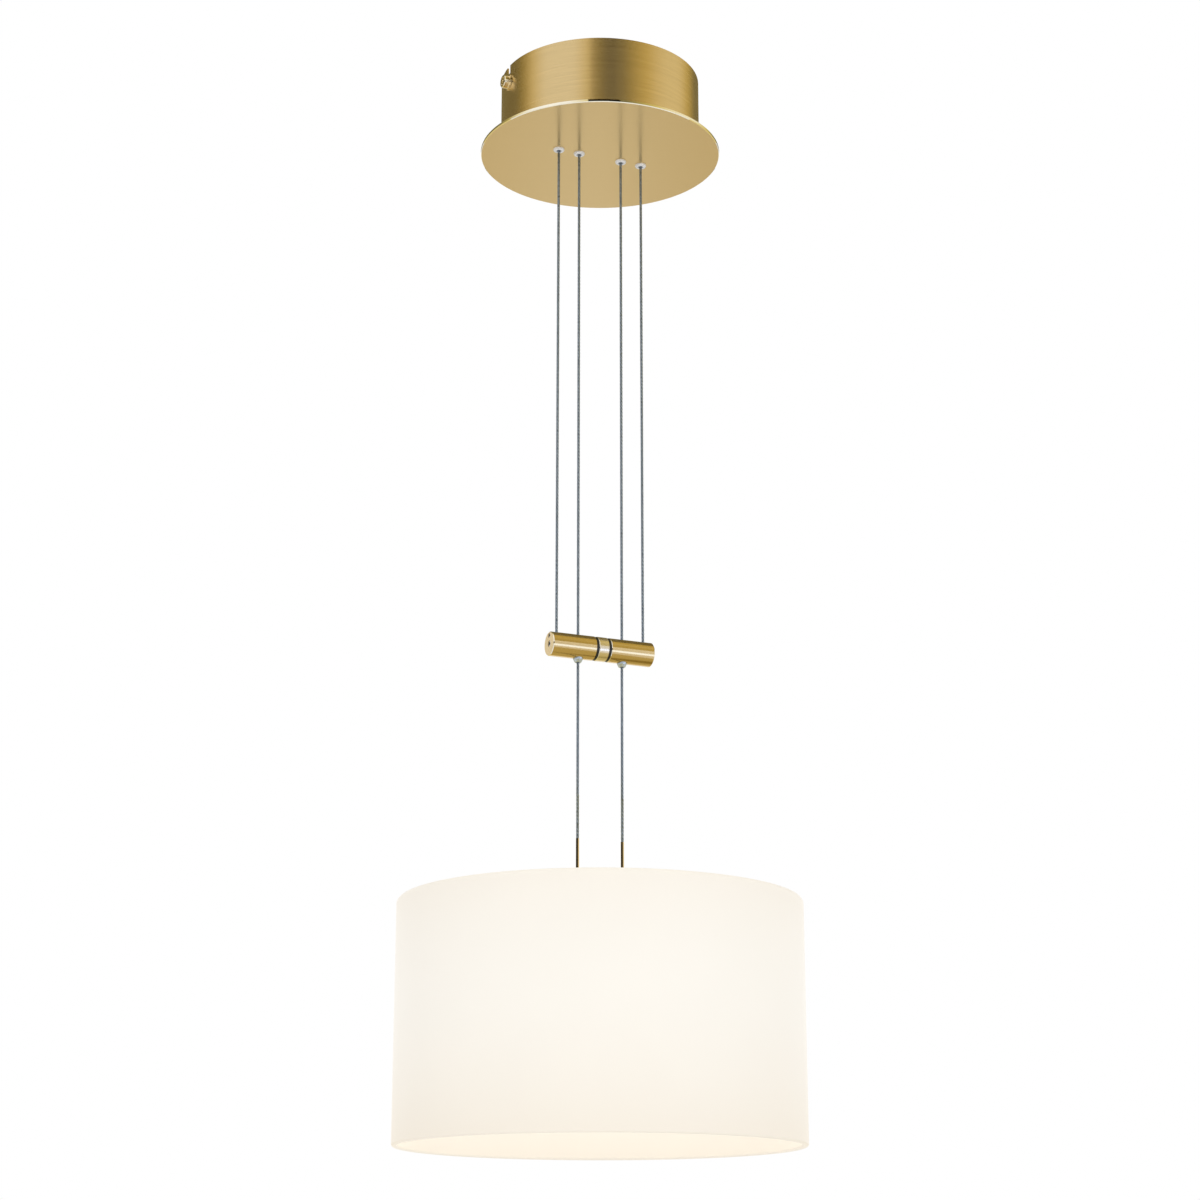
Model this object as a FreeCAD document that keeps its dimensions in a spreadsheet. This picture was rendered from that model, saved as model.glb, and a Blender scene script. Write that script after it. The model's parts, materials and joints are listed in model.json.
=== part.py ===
"""Rise and fall pendant with a cylindrical glass shade, in millimetres.

The origin is the middle of the ceiling plane, +Z points up and X runs along the cross bar.
Each side has one bare rope that carries the lamp and its low voltage current. It is clamped
in the end of the cross bar, runs up into the canopy, over a pulley, down again, through a
sprung brake in the bar and on to a rod of the lamp. The bar rises as the lamp is pulled down.
The object is the same on both sides of the YZ plane, so most left pieces are mirror images.
"""
import FreeCAD
import Part
import Sketcher
import math
import os

Vector = FreeCAD.Vector
Rotation = FreeCAD.Rotation

# alias, size in millimetres, what it is
SIZES = [
    ("plate_diameter", 160, "canopy plate that closes the canopy below"),
    ("plate_thickness", 1.8, "canopy plate"),
    ("plate_bevel", 0.45, "polished bevel round the plate's lower edge"),
    ("canopy_height", 53, "ceiling to the underside of the canopy plate"),
    ("drum_diameter", 133, "outside of the canopy drum"),
    ("drum_wall", 1, "sheet of the canopy drum"),
    ("drum_flange", 8, "width of the flange ring inside the drum's lower edge"),
    ("drum_corner", 0.6, "outer corner radius of the drum at the plate"),
    ("stud_diameter", 3, "studs welded on top of the canopy plate"),
    ("stud_height", 7.5, "studs above the plate"),
    ("stud_clearance", 0.2, "radial room of a hole over a stud"),
    ("nut_width", 5.5, "stud nuts across flats"),
    ("nut_height", 2.4, "stud nuts"),
    ("lug_thickness", 3, "fixing lugs of the pieces on the plate"),
    ("bracket_width", 24, "ceiling bracket strap"),
    ("bracket_thickness", 2, "ceiling bracket strap"),
    ("bracket_bend", 3, "outer bend radius of the strap"),
    ("bracket_drop", 19, "bent tabs below the ceiling"),
    ("bracket_gap", 1.5, "tab to the inside of the drum"),
    ("ceiling_slot_spacing", 80, "centre to centre of the two ceiling slots"),
    ("ceiling_slot_length", 12, "end to end of a ceiling slot"),
    ("ceiling_slot_width", 5.2, "ceiling slot"),
    ("cable_hole", 10, "supply cable hole in the bracket"),
    ("side_screw_drop", 11.5, "side screws below the ceiling"),
    ("side_screw_diameter", 4, "thread of the side screws"),
    ("side_screw_reach", 9, "thread length under the head"),
    ("side_head_diameter", 8.8, "head of the side screws"),
    ("side_head_height", 4.5, "head of the side screws"),
    ("side_head_bevel", 0.5, "outer edge of the side screws' head"),
    ("side_collar_diameter", 10.8, "collar under the head of the side screws"),
    ("side_collar_height", 1, "collar under the head of the side screws"),
    ("side_dimple_diameter", 2.6, "dimple in the middle of the side screws' head"),
    ("side_dimple_depth", 0.6, "dimple in the middle of the side screws' head"),
    ("side_groove_inner", 4.4, "inner diameter of the ring groove in the side screws' head"),
    ("side_groove_outer", 5.6, "outer diameter of the ring groove in the side screws' head"),
    ("side_groove_depth", 0.4, "ring groove in the side screws' head"),
    ("side_slot_room", 0.3, "drum slot past the side screw, each side"),
    ("thread_room", 0.05, "radial room of a plain hole that stands for a thread"),
    ("rope_diameter", 1.8, "stranded steel rope"),
    ("inner_rope_offset", 15.2, "falls to the lamp, from the middle"),
    ("pulley_pitch_radius", 7.4, "centre of the rope on its pulley"),
    ("pulley_rim_radius", 8.8, "pulley"),
    ("pulley_width", 5, "pulley along its axle"),
    ("groove_room", 0.3, "rope to the bottom of the groove"),
    ("groove_root_width", 1.5, "flat bottom of the groove"),
    ("groove_mouth_width", 3.8, "groove at the rim"),
    ("axle_diameter", 3, "pulley axles"),
    ("axle_head_diameter", 5, "pulley axles"),
    ("axle_head_height", 1, "pulley axles"),
    ("axle_tail", 0.8, "axle past the contact strip"),
    ("running_room", 0.05, "radial room of the pulley on its axle"),
    ("block_reach", 12.5, "pulley block from its middle along the ropes' row"),
    ("block_floor", 4, "floor of the pulley block"),
    ("block_floor_gap", 1, "pulley to the floor of its block"),
    ("block_cheek", 5, "cheeks of the pulley block"),
    ("pulley_side_gap", 0.3, "pulley to each cheek"),
    ("block_lug_width", 12, "lugs of the pulley block"),
    ("block_lug_reach", 16, "lugs from the middle of the block"),
    ("block_stud_offset", 12, "studs from the middle of the block"),
    ("rope_hole_room", 0.8, "radial room of the floor holes round the rope"),
    ("strip_thickness", 0.8, "spring brass contact strip"),
    ("strip_width", 8, "contact strip"),
    ("strip_drop", 4, "contact strip below the axle"),
    ("strip_rise", 11, "contact strip above the axle"),
    ("strip_flag", 10.5, "solder flag from the middle of the strip"),
    ("strip_flag_drop", 2, "solder flag below the axle"),
    ("strip_flag_rise", 4, "solder flag above the axle"),
    ("contact_screw_rise", 7.5, "contact screw above the axle"),
    ("contact_screw_diameter", 2.2, "contact screws"),
    ("contact_screw_reach", 4.8, "contact screws under the head"),
    ("contact_head_diameter", 4.4, "contact screws"),
    ("contact_head_height", 1.5, "contact screws"),
    ("contact_head_bevel", 0.4, "contact screws"),
    ("contact_hole_floor", 1, "cheek that is left behind a contact screw's hole"),
    ("eyelet_diameter", 7.5, "ceramic rope eyelets under the plate"),
    ("eyelet_lip", 1.6, "eyelets below the plate"),
    ("eyelet_shank", 5, "eyelets in the plate"),
    ("eyelet_bore", 3, "eyelets"),
    ("eyelet_round", 1.2, "outer rounding of the eyelets"),
    ("eyelet_bore_round", 0.55, "rounding at the mouth of the eyelets' bore"),
    ("eyelet_entry", 1.2, "eyelet shank above the plate, in the pulley block"),
    ("seat_room", 0.1, "radial room of a bush, core or pin in its seat"),
    ("transformer_length", 58, "low voltage transformer"),
    ("transformer_height", 24, "low voltage transformer"),
    ("transformer_gap", 1, "transformer to the lugs of the pulley blocks"),
    ("transformer_rim_gap", 0.65, "transformer's back corners to the drum's flange ring"),
    ("transformer_corner", 2, "transformer's upright corners"),
    ("transformer_lug", 11, "lug length at each end of the transformer"),
    ("transformer_stud", 5.5, "stud from the end of the transformer"),
    ("small_lug_width", 10, "lugs of the transformer and the terminal block"),
    ("terminal_length", 28, "mains terminal block"),
    ("terminal_depth", 16, "mains terminal block"),
    ("terminal_height", 13, "mains terminal block"),
    ("terminal_offset", 33, "terminal block in front of the middle"),
    ("terminal_lug", 9, "lug length at each end of the terminal block"),
    ("terminal_stud", 4.5, "stud from the end of the terminal block"),
    ("terminal_pitch", 8.5, "pole to pole"),
    ("terminal_screw_diameter", 3.6, "terminal screws"),
    ("terminal_screw_height", 3, "terminal screws"),
    ("terminal_well", 5.5, "depth of the terminal screw wells"),
    ("terminal_row", 4, "terminal screws from the middle of the block"),
    ("wire_entry", 3, "wire entries of the terminal block"),
    ("wire_entry_depth", 3, "wire entries of the terminal block"),
    ("wire_entry_rise", 4.3, "wire entries above the plate"),
    ("lead_diameter", 2.2, "insulated mains leads"),
    ("feed_diameter", 1.8, "insulated low voltage leads"),
    ("bar_hang", 342, "canopy plate to the axis of the cross bar"),
    ("bar_length", 70, "cross bar"),
    ("bar_diameter", 15.5, "cross bar"),
    ("bar_bevel", 0.4, "edges of the cross bar's sleeves and centre ring"),
    ("centre_ring_length", 7.1, "ring in the middle of the cross bar"),
    ("insulating_ring_length", 1.4, "black rings beside the centre ring"),
    ("insulating_ring_diameter", 15.1, "black rings"),
    ("core_diameter", 6.9, "insulating core that joins the two sleeves"),
    ("core_length", 23, "insulating core"),
    ("core_end_gap", 0.4, "end of the core to the bottom of its bore"),
    ("bar_rope_bore", 3, "running rope's bore through the bar"),
    ("anchor_floor", 2.9, "bottom of the anchor bore above the bar's axis"),
    ("anchor_room", 0.15, "radial room of the rope in the anchor bore"),
    ("clamp_screw_diameter", 3, "set screw on the rope's fixed end"),
    ("clamp_screw_rise", 5.4, "clamp screw above the bar's axis"),
    ("brake_screw_diameter", 4, "set screw that presses the rope brake"),
    ("brake_screw_length", 6, "brake set screw"),
    ("set_screw_sink", 0.3, "set screws inside the end face"),
    ("set_screw_bevel", 0.3, "inner end of the set screws"),
    ("set_screw_socket", 1.8, "depth of the hexagon sockets in the set screws"),
    ("clamp_screw_key", 1.5, "hexagon key of the rope clamp screws"),
    ("brake_screw_key", 2, "hexagon key of the brake set screws"),
    ("plunger_diameter", 3.6, "brake plunger"),
    ("plunger_length", 3, "brake plunger without its spigot"),
    ("plunger_gap", 0.05, "plunger to the running rope"),
    ("spigot_diameter", 1.8, "spring spigot of the plunger"),
    ("spigot_length", 2, "spring spigot of the plunger"),
    ("spring_discs", 16, "disc springs of a rope brake"),
    ("spring_disc_edge", 0.25, "disc springs where they meet"),
    ("spring_disc_bore", 1.9, "disc springs"),
    ("spring_disc_diameter", 3.4, "disc springs"),
    ("bush_diameter", 6.4, "domed rope bushes under the bar"),
    ("bush_height", 2.6, "bushes below the bar"),
    ("bush_rim", 0.4, "straight rim of the bushes below their spot face"),
    ("bush_tip", 4, "bushes at their lower end"),
    ("bush_rim_round", 0.9, "rounding between the rim and the taper of the bushes"),
    ("bush_tip_round", 0.6, "rounding of the bushes' lower end"),
    ("bush_seat", 0.65, "spot face for the bushes"),
    ("bush_shank", 4.4, "bushes in the bar"),
    ("bush_shank_depth", 3, "bushes in the bar above their spot face"),
    ("bush_bore", 2.6, "bushes"),
    ("lamp_hang", 503, "canopy plate to the top of the shade"),
    ("rod_diameter", 2, "lamp rods"),
    ("rod_stand", 38.5, "lamp rods above the top of the shade"),
    ("rod_bore", 1.3, "bore for the rope's core in a rod"),
    ("rod_bore_depth", 7, "bore for the rope's core in a rod"),
    ("rope_core_diameter", 1.2, "rope's core, bared at its end"),
    ("rope_core_length", 6, "rope's core in the rod"),
    ("shade_diameter", 250, "glass shade"),
    ("shade_height", 148, "glass shade"),
    ("shade_wall", 4, "glass"),
    ("shade_corner", 3, "outer corner radius of the glass"),
    ("shade_inner_corner", 2, "inner corner radius of the glass"),
    ("shade_rim", 1.4, "fire polished edges of the open rim"),
    ("shade_hole", 50, "hole in the top of the glass"),
    ("gasket_thickness", 1, "silicone gaskets"),
    ("gasket_inner_diameter", 52, "silicone gaskets"),
    ("gasket_outer_diameter", 62, "silicone gaskets"),
    ("holder_diameter", 64, "holder plate and clamp disc"),
    ("holder_thickness", 3, "holder plate"),
    ("holder_bevel", 0.5, "upper edge of the holder plate"),
    ("clamp_thickness", 2, "clamp disc under the glass"),
    ("clamp_rod_hole", 6, "clamp disc round each rod"),
    ("nipple_diameter", 9.9, "threaded tube of the lamp holder"),
    ("nipple_bore", 7, "threaded tube"),
    ("nipple_top", 2, "threaded tube above the upper nut"),
    ("nipple_hole", 10.1, "holes for the threaded tube"),
    ("holder_nut_diameter", 18, "round nut on the holder plate"),
    ("holder_nut_height", 5, "round nut on the holder plate"),
    ("holder_nut_bevel", 0.6, "upper edge of the round nut"),
    ("clamp_nut_width", 17, "hexagon nut under the clamp disc across flats"),
    ("clamp_nut_height", 5, "hexagon nut under the clamp disc"),
    ("insulator_shank", 5, "insulating bushes of the rods in the holder plate"),
    ("insulator_flange", 7, "insulating bushes of the rods"),
    ("insulator_flange_height", 1, "insulating bushes of the rods"),
    ("carrier_drop", 16, "top of the socket carrier below the top of the glass"),
    ("carrier_diameter", 44, "ceramic socket carrier"),
    ("carrier_thickness", 8, "ceramic socket carrier"),
    ("nipple_recess", 2, "threaded tube inside the carrier's lower face"),
    ("terminal_block_length", 7, "brass rod terminals along the bar"),
    ("terminal_block_width", 8, "brass rod terminals across the bar"),
    ("rod_end_cover", 2, "rod's end above the carrier's lower face"),
    ("rod_screw_diameter", 3, "screws of the rod terminals"),
    ("rod_screw_sink", 0.5, "rod screws inside the carrier's rim"),
    ("link_thickness", 1, "brass links under the carrier"),
    ("link_width", 5, "brass links under the carrier"),
    ("link_inner_end", 2.2, "inner end of the links from the middle"),
    ("link_outer_end", 18, "outer end of the links from the middle"),
    ("socket_length", 22, "ceramic lamp socket across the bar"),
    ("socket_width", 14, "ceramic lamp socket along the bar"),
    ("socket_height", 12, "ceramic lamp socket"),
    ("socket_corner", 2.1, "upright corners of the ceramic lamp socket"),
    ("socket_screw_offset", 8, "socket screws from the middle"),
    ("socket_screw_diameter", 2.5, "socket screws"),
    ("socket_screw_head", 4.4, "socket screws"),
    ("socket_screw_head_height", 1.8, "socket screws"),
    ("socket_screw_sink", 1, "socket screws inside the socket's lower face"),
    ("socket_screw_entry", 4, "socket screws in the carrier"),
    ("pin_pitch", 6.35, "lamp pins centre to centre"),
    ("pin_diameter", 1.25, "lamp pins"),
    ("pin_length", 7.5, "lamp pins in the socket"),
    ("pin_hole", 1.6, "pin holes of the socket"),
    ("pin_hole_depth", 9, "pin holes of the socket"),
    ("lamp_gap", 0.3, "lamp's foot to the socket"),
    ("lamp_foot_diameter", 9, "pinched foot of the halogen lamp"),
    ("lamp_foot_height", 7, "pinched foot of the halogen lamp"),
    ("lamp_diameter", 13, "halogen lamp"),
    ("lamp_length", 40, "halogen lamp without its pins"),
    ("lamp_shoulder", 2, "rounding above the foot"),
    ("lamp_dome", 6, "rounding of the lamp's tip"),
]

doc = FreeCAD.newDocument("rise_and_fall_pendant")
dims = doc.addObject("Spreadsheet::Sheet", "dims")
for row, (alias, size, note) in enumerate(SIZES, start=1):
    dims.set(f"A{row}", alias)
    dims.set(f"B{row}", str(size))
    dims.setAlias(f"B{row}", alias)
    dims.set(f"C{row}", note)
doc.recompute()

# Places that several pieces share, worked out from the sheet.
PLATE_BOTTOM = "(-dims.canopy_height)"
PLATE_TOP = "(dims.plate_thickness - dims.canopy_height)"
DRUM_RADIUS = "(dims.drum_diameter / 2)"
DRUM_INSIDE = "(dims.drum_diameter / 2 - dims.drum_wall)"
FLANGE_INSIDE = f"({DRUM_INSIDE} - dims.drum_flange)"
FLANGE_MIDDLE = f"({DRUM_INSIDE} - dims.drum_flange / 2)"
FLANGE_TOP = f"({PLATE_TOP} + dims.drum_wall)"
STUD_HOLE = "(dims.stud_diameter / 2 + dims.stud_clearance)"
TAB_OUTSIDE = f"({DRUM_INSIDE} - dims.bracket_gap)"
ROPE_RADIUS = "(dims.rope_diameter / 2)"
INNER_ROPE = "(dims.inner_rope_offset)"
OUTER_ROPE = "(dims.inner_rope_offset + 2 * dims.pulley_pitch_radius)"
PULLEY_X = "(dims.inner_rope_offset + dims.pulley_pitch_radius)"
PULLEY_RISE = "(dims.block_floor + dims.block_floor_gap + dims.pulley_rim_radius)"
PULLEY_Z = f"({PLATE_TOP} + {PULLEY_RISE})"
BLOCK_SLOT = "(dims.pulley_width / 2 + dims.pulley_side_gap)"
BLOCK_SIDE = f"({BLOCK_SLOT} + dims.block_cheek)"
FLAG_LEAD_X = f"({PULLEY_X} + (dims.strip_width / 2 + dims.strip_flag) / 2)"
FLAG_LEAD_Z = f"({PULLEY_Z} + (dims.strip_flag_rise - dims.strip_flag_drop) / 2)"
FLAG_FACE_Y = f"({BLOCK_SIDE} + dims.strip_thickness)"
TRANSFORMER_FRONT = "(dims.block_lug_reach + dims.transformer_gap)"
TRANSFORMER_CHORD = f"sqrt({FLANGE_INSIDE}^2 - (dims.transformer_length / 2)^2)"
TRANSFORMER_BACK = f"({TRANSFORMER_CHORD} - dims.transformer_rim_gap)"
TRANSFORMER_Y = f"(({TRANSFORMER_FRONT} + {TRANSFORMER_BACK}) / 2)"
TRANSFORMER_STUD = "(dims.transformer_length / 2 + dims.transformer_stud)"
TERMINAL_STUD = "(dims.terminal_length / 2 + dims.terminal_stud)"
BAR_Z = f"({PLATE_BOTTOM} - dims.bar_hang)"
BAR_RADIUS = "(dims.bar_diameter / 2)"
BAR_END = "(dims.bar_length / 2)"
SLEEVE_START = "(dims.centre_ring_length / 2 + dims.insulating_ring_length)"
CORE_BORE = "(dims.core_diameter / 2 + dims.seat_room)"
BUSH_SEAT_Z = f"({BAR_Z} - {BAR_RADIUS} + dims.bush_seat)"
SCREW_FACE = f"({BAR_END} - dims.set_screw_sink)"
PLUNGER_START = f"({INNER_ROPE} + {ROPE_RADIUS} + dims.plunger_gap)"
SPRING_START = f"({PLUNGER_START} + dims.plunger_length)"
SPRING_END = f"({SCREW_FACE} - dims.brake_screw_length)"
GLASS_TOP = f"({PLATE_BOTTOM} - dims.lamp_hang)"
GLASS_UNDER = f"({GLASS_TOP} - dims.shade_wall)"
HOLDER_BOTTOM = f"({GLASS_TOP} + dims.gasket_thickness)"
HOLDER_TOP = f"({HOLDER_BOTTOM} + dims.holder_thickness)"
CLAMP_TOP = f"({GLASS_UNDER} - dims.gasket_thickness)"
CLAMP_BOTTOM = f"({CLAMP_TOP} - dims.clamp_thickness)"
CARRIER_TOP = f"({GLASS_TOP} - dims.carrier_drop)"
CARRIER_BOTTOM = f"({CARRIER_TOP} - dims.carrier_thickness)"
SOCKET_TOP = f"({CARRIER_BOTTOM} - dims.link_thickness)"
SOCKET_BOTTOM = f"({SOCKET_TOP} - dims.socket_height)"
ROD_TOP = f"({GLASS_TOP} + dims.rod_stand)"
ROD_BOTTOM = f"({CARRIER_BOTTOM} + dims.rod_end_cover)"
ROD_RADIUS = "(dims.rod_diameter / 2)"
TERMINAL_BLOCK_END = f"({INNER_ROPE} + dims.terminal_block_length / 2)"

ALONG_X = Rotation(Vector(0, 1, 0), 90)    # local +Z becomes +X
ALONG_Y = Rotation(Vector(1, 0, 0), -90)   # local +Z becomes +Y

nodes = []


def number(expression):
    """The value of an expression over the sheet."""
    return float(dims.evalExpression(expression))


def node(label, thing):
    """Gives a finished piece its name, and puts it on the list of pieces to write."""
    thing.Label = label
    nodes.append(thing)
    return thing


def place(thing, x="0", y="0", z="0", turn=Rotation()):
    thing.Placement = FreeCAD.Placement(Vector(), turn)
    for letter, expression in (("x", x), ("y", y), ("z", z)):
        thing.setExpression(f"Placement.Base.{letter}", expression)
    return thing


def new_body(x="0", y="0", z="0", turn=Rotation()):
    return place(doc.addObject("PartDesign::Body", "body"), x, y, z, turn)


def new_sketch(body, role, height="0"):
    """A sketch on one of the body's own planes, lifted along the plane's normal."""
    plane = next(item for item in body.Origin.OriginFeatures if item.Role == role)
    sketch = body.newObject("Sketcher::SketchObject", "sketch")
    sketch.AttachmentSupport = [(plane, "")]
    sketch.MapMode = "FlatFace"
    sketch.setExpression("AttachmentOffset.Base.z", height)
    return sketch


def hold(sketch, kind, geometry, point, expression):
    """Ties one distance from the sketch's origin to the sheet."""
    rule = Sketcher.Constraint(kind, -1, 1, geometry, point, number(expression))
    sketch.setExpression(f"Constraints[{sketch.addConstraint(rule)}]", expression)


def draw_outline(sketch, corners):
    """A closed outline of straight sides through (x, y) corners."""
    first = sketch.GeometryCount
    count = len(corners)
    points = [Vector(number(x), number(y), 0) for x, y in corners]
    for index in range(count):
        sketch.addGeometry(Part.LineSegment(points[index], points[(index + 1) % count]), False)
    for index, (x, y) in enumerate(corners):
        side = first + index
        following = first + (index + 1) % count
        sketch.addConstraint(Sketcher.Constraint("Coincident", side, 2, following, 1))
        hold(sketch, "DistanceX", side, 1, x)
        hold(sketch, "DistanceY", side, 1, y)


def draw_rectangle(sketch, x_low, x_high, y_low, y_high):
    draw_outline(sketch, [(x_low, y_low), (x_high, y_low), (x_high, y_high), (x_low, y_high)])


def draw_hexagon(sketch, across_flats):
    """A hexagon about the sketch's origin."""
    corner = f"{across_flats} / 2 / cos(30 deg)"
    draw_outline(sketch, [
        (f"{corner} * cos({angle} deg)", f"{corner} * sin({angle} deg)")
        for angle in range(0, 360, 60)
    ])


def draw_circles(sketch, centres, radius):
    for x, y in centres:
        circle = Part.Circle(Vector(number(x), number(y), 0), Vector(0, 0, 1), number(radius))
        index = sketch.addGeometry(circle, False)
        hold(sketch, "DistanceX", index, 3, x)
        hold(sketch, "DistanceY", index, 3, y)
        rule = Sketcher.Constraint("Radius", index, number(radius))
        sketch.setExpression(f"Constraints[{sketch.addConstraint(rule)}]", radius)


def extrude(body, kind, sketch, length, both_ways=False, backwards=False):
    feature = body.newObject(f"PartDesign::{kind}", kind.lower())
    feature.Profile = sketch
    feature.setExpression("Length", length)
    feature.SideType = "Symmetric" if both_ways else "One side"
    feature.Reversed = backwards
    return feature


def pad(body, sketch, length, both_ways=False, backwards=False):
    return extrude(body, "Pad", sketch, length, both_ways, backwards)


def pocket(body, sketch, length, both_ways=False, backwards=False):
    """A cut against the sketch's normal, or along it when backwards. It has to remove metal."""
    doc.recompute()
    before = body.Shape.Volume
    feature = extrude(body, "Pocket", sketch, length, both_ways, backwards)
    doc.recompute()
    if body.Shape.Volume > before - 1e-6:
        raise RuntimeError(f"{feature.Name} of {body.Name} cuts nothing")
    return feature


def drill(body, centres, radius, length, height="0", role="XY_Plane", both_ways=False, backwards=False):
    sketch = new_sketch(body, role, height)
    draw_circles(sketch, centres, radius)
    return pocket(body, sketch, length, both_ways, backwards)


def turned(corners, spin="V_Axis", x="0", y="0", z="0", turn=Rotation()):
    """A body turned on a lathe: an outline in the XZ plane, spun about its Z or X axis."""
    body = new_body(x, y, z, turn)
    sketch = new_sketch(body, "XZ_Plane")
    draw_outline(sketch, corners)
    feature = body.newObject("PartDesign::Revolution", "revolution")
    feature.Profile = sketch
    feature.ReferenceAxis = (sketch, [spin])
    feature.Angle = 360
    doc.recompute()
    return body


def round_edges(body, radius, chosen):
    """Rounds the edges of the body so far for which chosen(edge) is true."""
    doc.recompute()
    base = body.Tip
    names = [f"Edge{index}" for index, edge in enumerate(base.Shape.Edges, start=1) if chosen(edge)]
    if not names:
        raise RuntimeError(f"no edge to round on {body.Name}")
    feature = body.newObject("PartDesign::Fillet", "fillet")
    feature.Base = (base, names)
    feature.setExpression("Radius", radius)
    doc.recompute()
    return feature


def upright(edge):
    """Picks the upright corners of a block."""
    return edge.BoundBox.ZLength > 1


def ring_edge(radius, height):
    """Picks the circle of a turned body at a radius and a height."""
    wanted_radius = number(radius)
    wanted_height = number(height)

    def chosen(edge):
        return (
            isinstance(edge.Curve, Part.Circle)
            and abs(edge.Curve.Radius - wanted_radius) < 1e-4
            and abs(edge.Curve.Center.z - wanted_height) < 1e-4
        )

    return chosen


def rod_shape(radius, length, x="0", y="0", z="0", turn=Rotation()):
    cylinder = doc.addObject("Part::Cylinder", "cylinder")
    cylinder.setExpression("Radius", radius)
    cylinder.setExpression("Height", length)
    return place(cylinder, x, y, z, turn)


def mirrored(source):
    """The mirror image across the YZ plane."""
    image = doc.addObject("Part::Mirroring", "mirroring")
    image.Source = source
    image.Normal = Vector(1, 0, 0)
    return image


def group(label, pieces):
    """Identical loose pieces that share one node."""
    compound = doc.addObject("Part::Compound", "compound")
    compound.Links = pieces
    return node(label, compound)


def pair(label, right):
    return group(label, [right, mirrored(right)])


def copies(label, form, places):
    """One form at several places, as links, in one node."""
    links = []
    for x, y, z in places:
        link = doc.addObject("App::Link", "link")
        link.LinkedObject = form
        links.append(place(link, x, y, z))
    return group(label, links)


def both_sides(name, right):
    node(f"right_{name}", right)
    node(f"left_{name}", mirrored(right))


def tube(label, points, diameter):
    """A lead: straight runs joined by tangent arcs, swept with a round section."""
    edges = []
    start = points[0]
    for before, corner, after in zip(points, points[1:], points[2:]):
        incoming = corner - before
        outgoing = after - corner
        half_turn = incoming.getAngle(outgoing) / 2
        reach = 0.45 * min(incoming.Length, outgoing.Length)
        entry = corner - incoming.normalize() * reach
        leave = corner + outgoing.normalize() * reach
        middle_pull = (outgoing - incoming).normalize()
        radius = reach / math.tan(half_turn)
        middle = corner + middle_pull * (radius / math.cos(half_turn) - radius)
        edges.append(Part.LineSegment(start, entry).toShape())
        edges.append(Part.Arc(entry, middle, leave).toShape())
        start = leave
    edges.append(Part.LineSegment(start, points[-1]).toShape())
    path = Part.Wire(edges)
    section = Part.Wire(Part.makeCircle(diameter / 2, points[0], points[1] - points[0]))
    lead = doc.addObject("Part::Feature", "lead")
    lead.Shape = path.makePipeShell([section], True, False)
    expected = path.Length * math.pi * diameter ** 2 / 4
    if abs(lead.Shape.Volume - expected) > 0.02 * expected:
        raise RuntimeError(f"{label} is not a clean tube")
    return lead


# ---------------------------------------------------------------- canopy

def stud_places():
    """Where the studs stand on the canopy plate, and what each one clamps."""
    flange = [
        (f"{FLANGE_MIDDLE} * cos({angle} deg)", f"{FLANGE_MIDDLE} * sin({angle} deg)")
        for angle in (90, 210, 330)
    ]
    blocks = [
        (f"{x_sign} * {PULLEY_X}", f"{y_sign} * dims.block_stud_offset")
        for x_sign in (-1, 1) for y_sign in (-1, 1)
    ]
    boxes = [
        (f"{x_sign} * {stud}", offset)
        for stud, offset in (
            (TRANSFORMER_STUD, TRANSFORMER_Y),
            (TERMINAL_STUD, "-dims.terminal_offset"),
        )
        for x_sign in (-1, 1)
    ]
    return flange, blocks + boxes


def rope_places():
    return [(f"{sign} * {offset}", "0") for offset in (INNER_ROPE, OUTER_ROPE) for sign in (-1, 1)]


def make_ceiling_bracket():
    """A strap on the ceiling with a bent tab at each end for the side screws."""
    body = new_body()
    inside = f"({TAB_OUTSIDE} - dims.bracket_thickness)"
    sketch = new_sketch(body, "XZ_Plane")
    draw_outline(sketch, [
        (f"-{TAB_OUTSIDE}", "0"),
        (TAB_OUTSIDE, "0"),
        (TAB_OUTSIDE, "-dims.bracket_drop"),
        (inside, "-dims.bracket_drop"),
        (inside, "-dims.bracket_thickness"),
        (f"-{inside}", "-dims.bracket_thickness"),
        (f"-{inside}", "-dims.bracket_drop"),
        (f"-{TAB_OUTSIDE}", "-dims.bracket_drop"),
    ])
    pad(body, sketch, "dims.bracket_width", both_ways=True)

    def bend_edge(height, across):
        def chosen(edge):
            low, high = edge.BoundBox.getPoint(0), edge.BoundBox.getPoint(6)
            runs_across = abs(high.y - low.y) > 1
            middle = (low + high) / 2
            return runs_across and abs(middle.z - height) < 1e-4 and abs(abs(middle.x) - across) < 1e-4
        return chosen

    round_edges(body, "dims.bracket_bend", bend_edge(0, number(TAB_OUTSIDE)))
    round_edges(
        body,
        "dims.bracket_bend - dims.bracket_thickness",
        bend_edge(-number("dims.bracket_thickness"), number(inside)),
    )
    straight = "(dims.ceiling_slot_length - dims.ceiling_slot_width) / 2"
    middle = "dims.ceiling_slot_spacing / 2"
    slot = new_sketch(body, "XY_Plane")
    for sign in (-1, 1):
        draw_rectangle(
            slot,
            f"{sign} * {middle} - {straight}",
            f"{sign} * {middle} + {straight}",
            "-dims.ceiling_slot_width / 2",
            "dims.ceiling_slot_width / 2",
        )
    pocket(body, slot, "3 * dims.bracket_thickness", both_ways=True)
    ends = [(f"{sign} * {middle} {end} {straight}", "0") for sign in (-1, 1) for end in "-+"]
    drill(body, ends, "dims.ceiling_slot_width / 2", "3 * dims.bracket_thickness", both_ways=True)
    drill(body, [("0", "0")], "dims.cable_hole / 2", "3 * dims.bracket_thickness", both_ways=True)
    drill(
        body,
        [("0", "-dims.side_screw_drop")],
        "dims.side_screw_diameter / 2 + dims.thread_room",
        "2 * dims.drum_diameter",
        role="YZ_Plane",
        both_ways=True,
    )
    node("ceiling_bracket", body)


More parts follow.
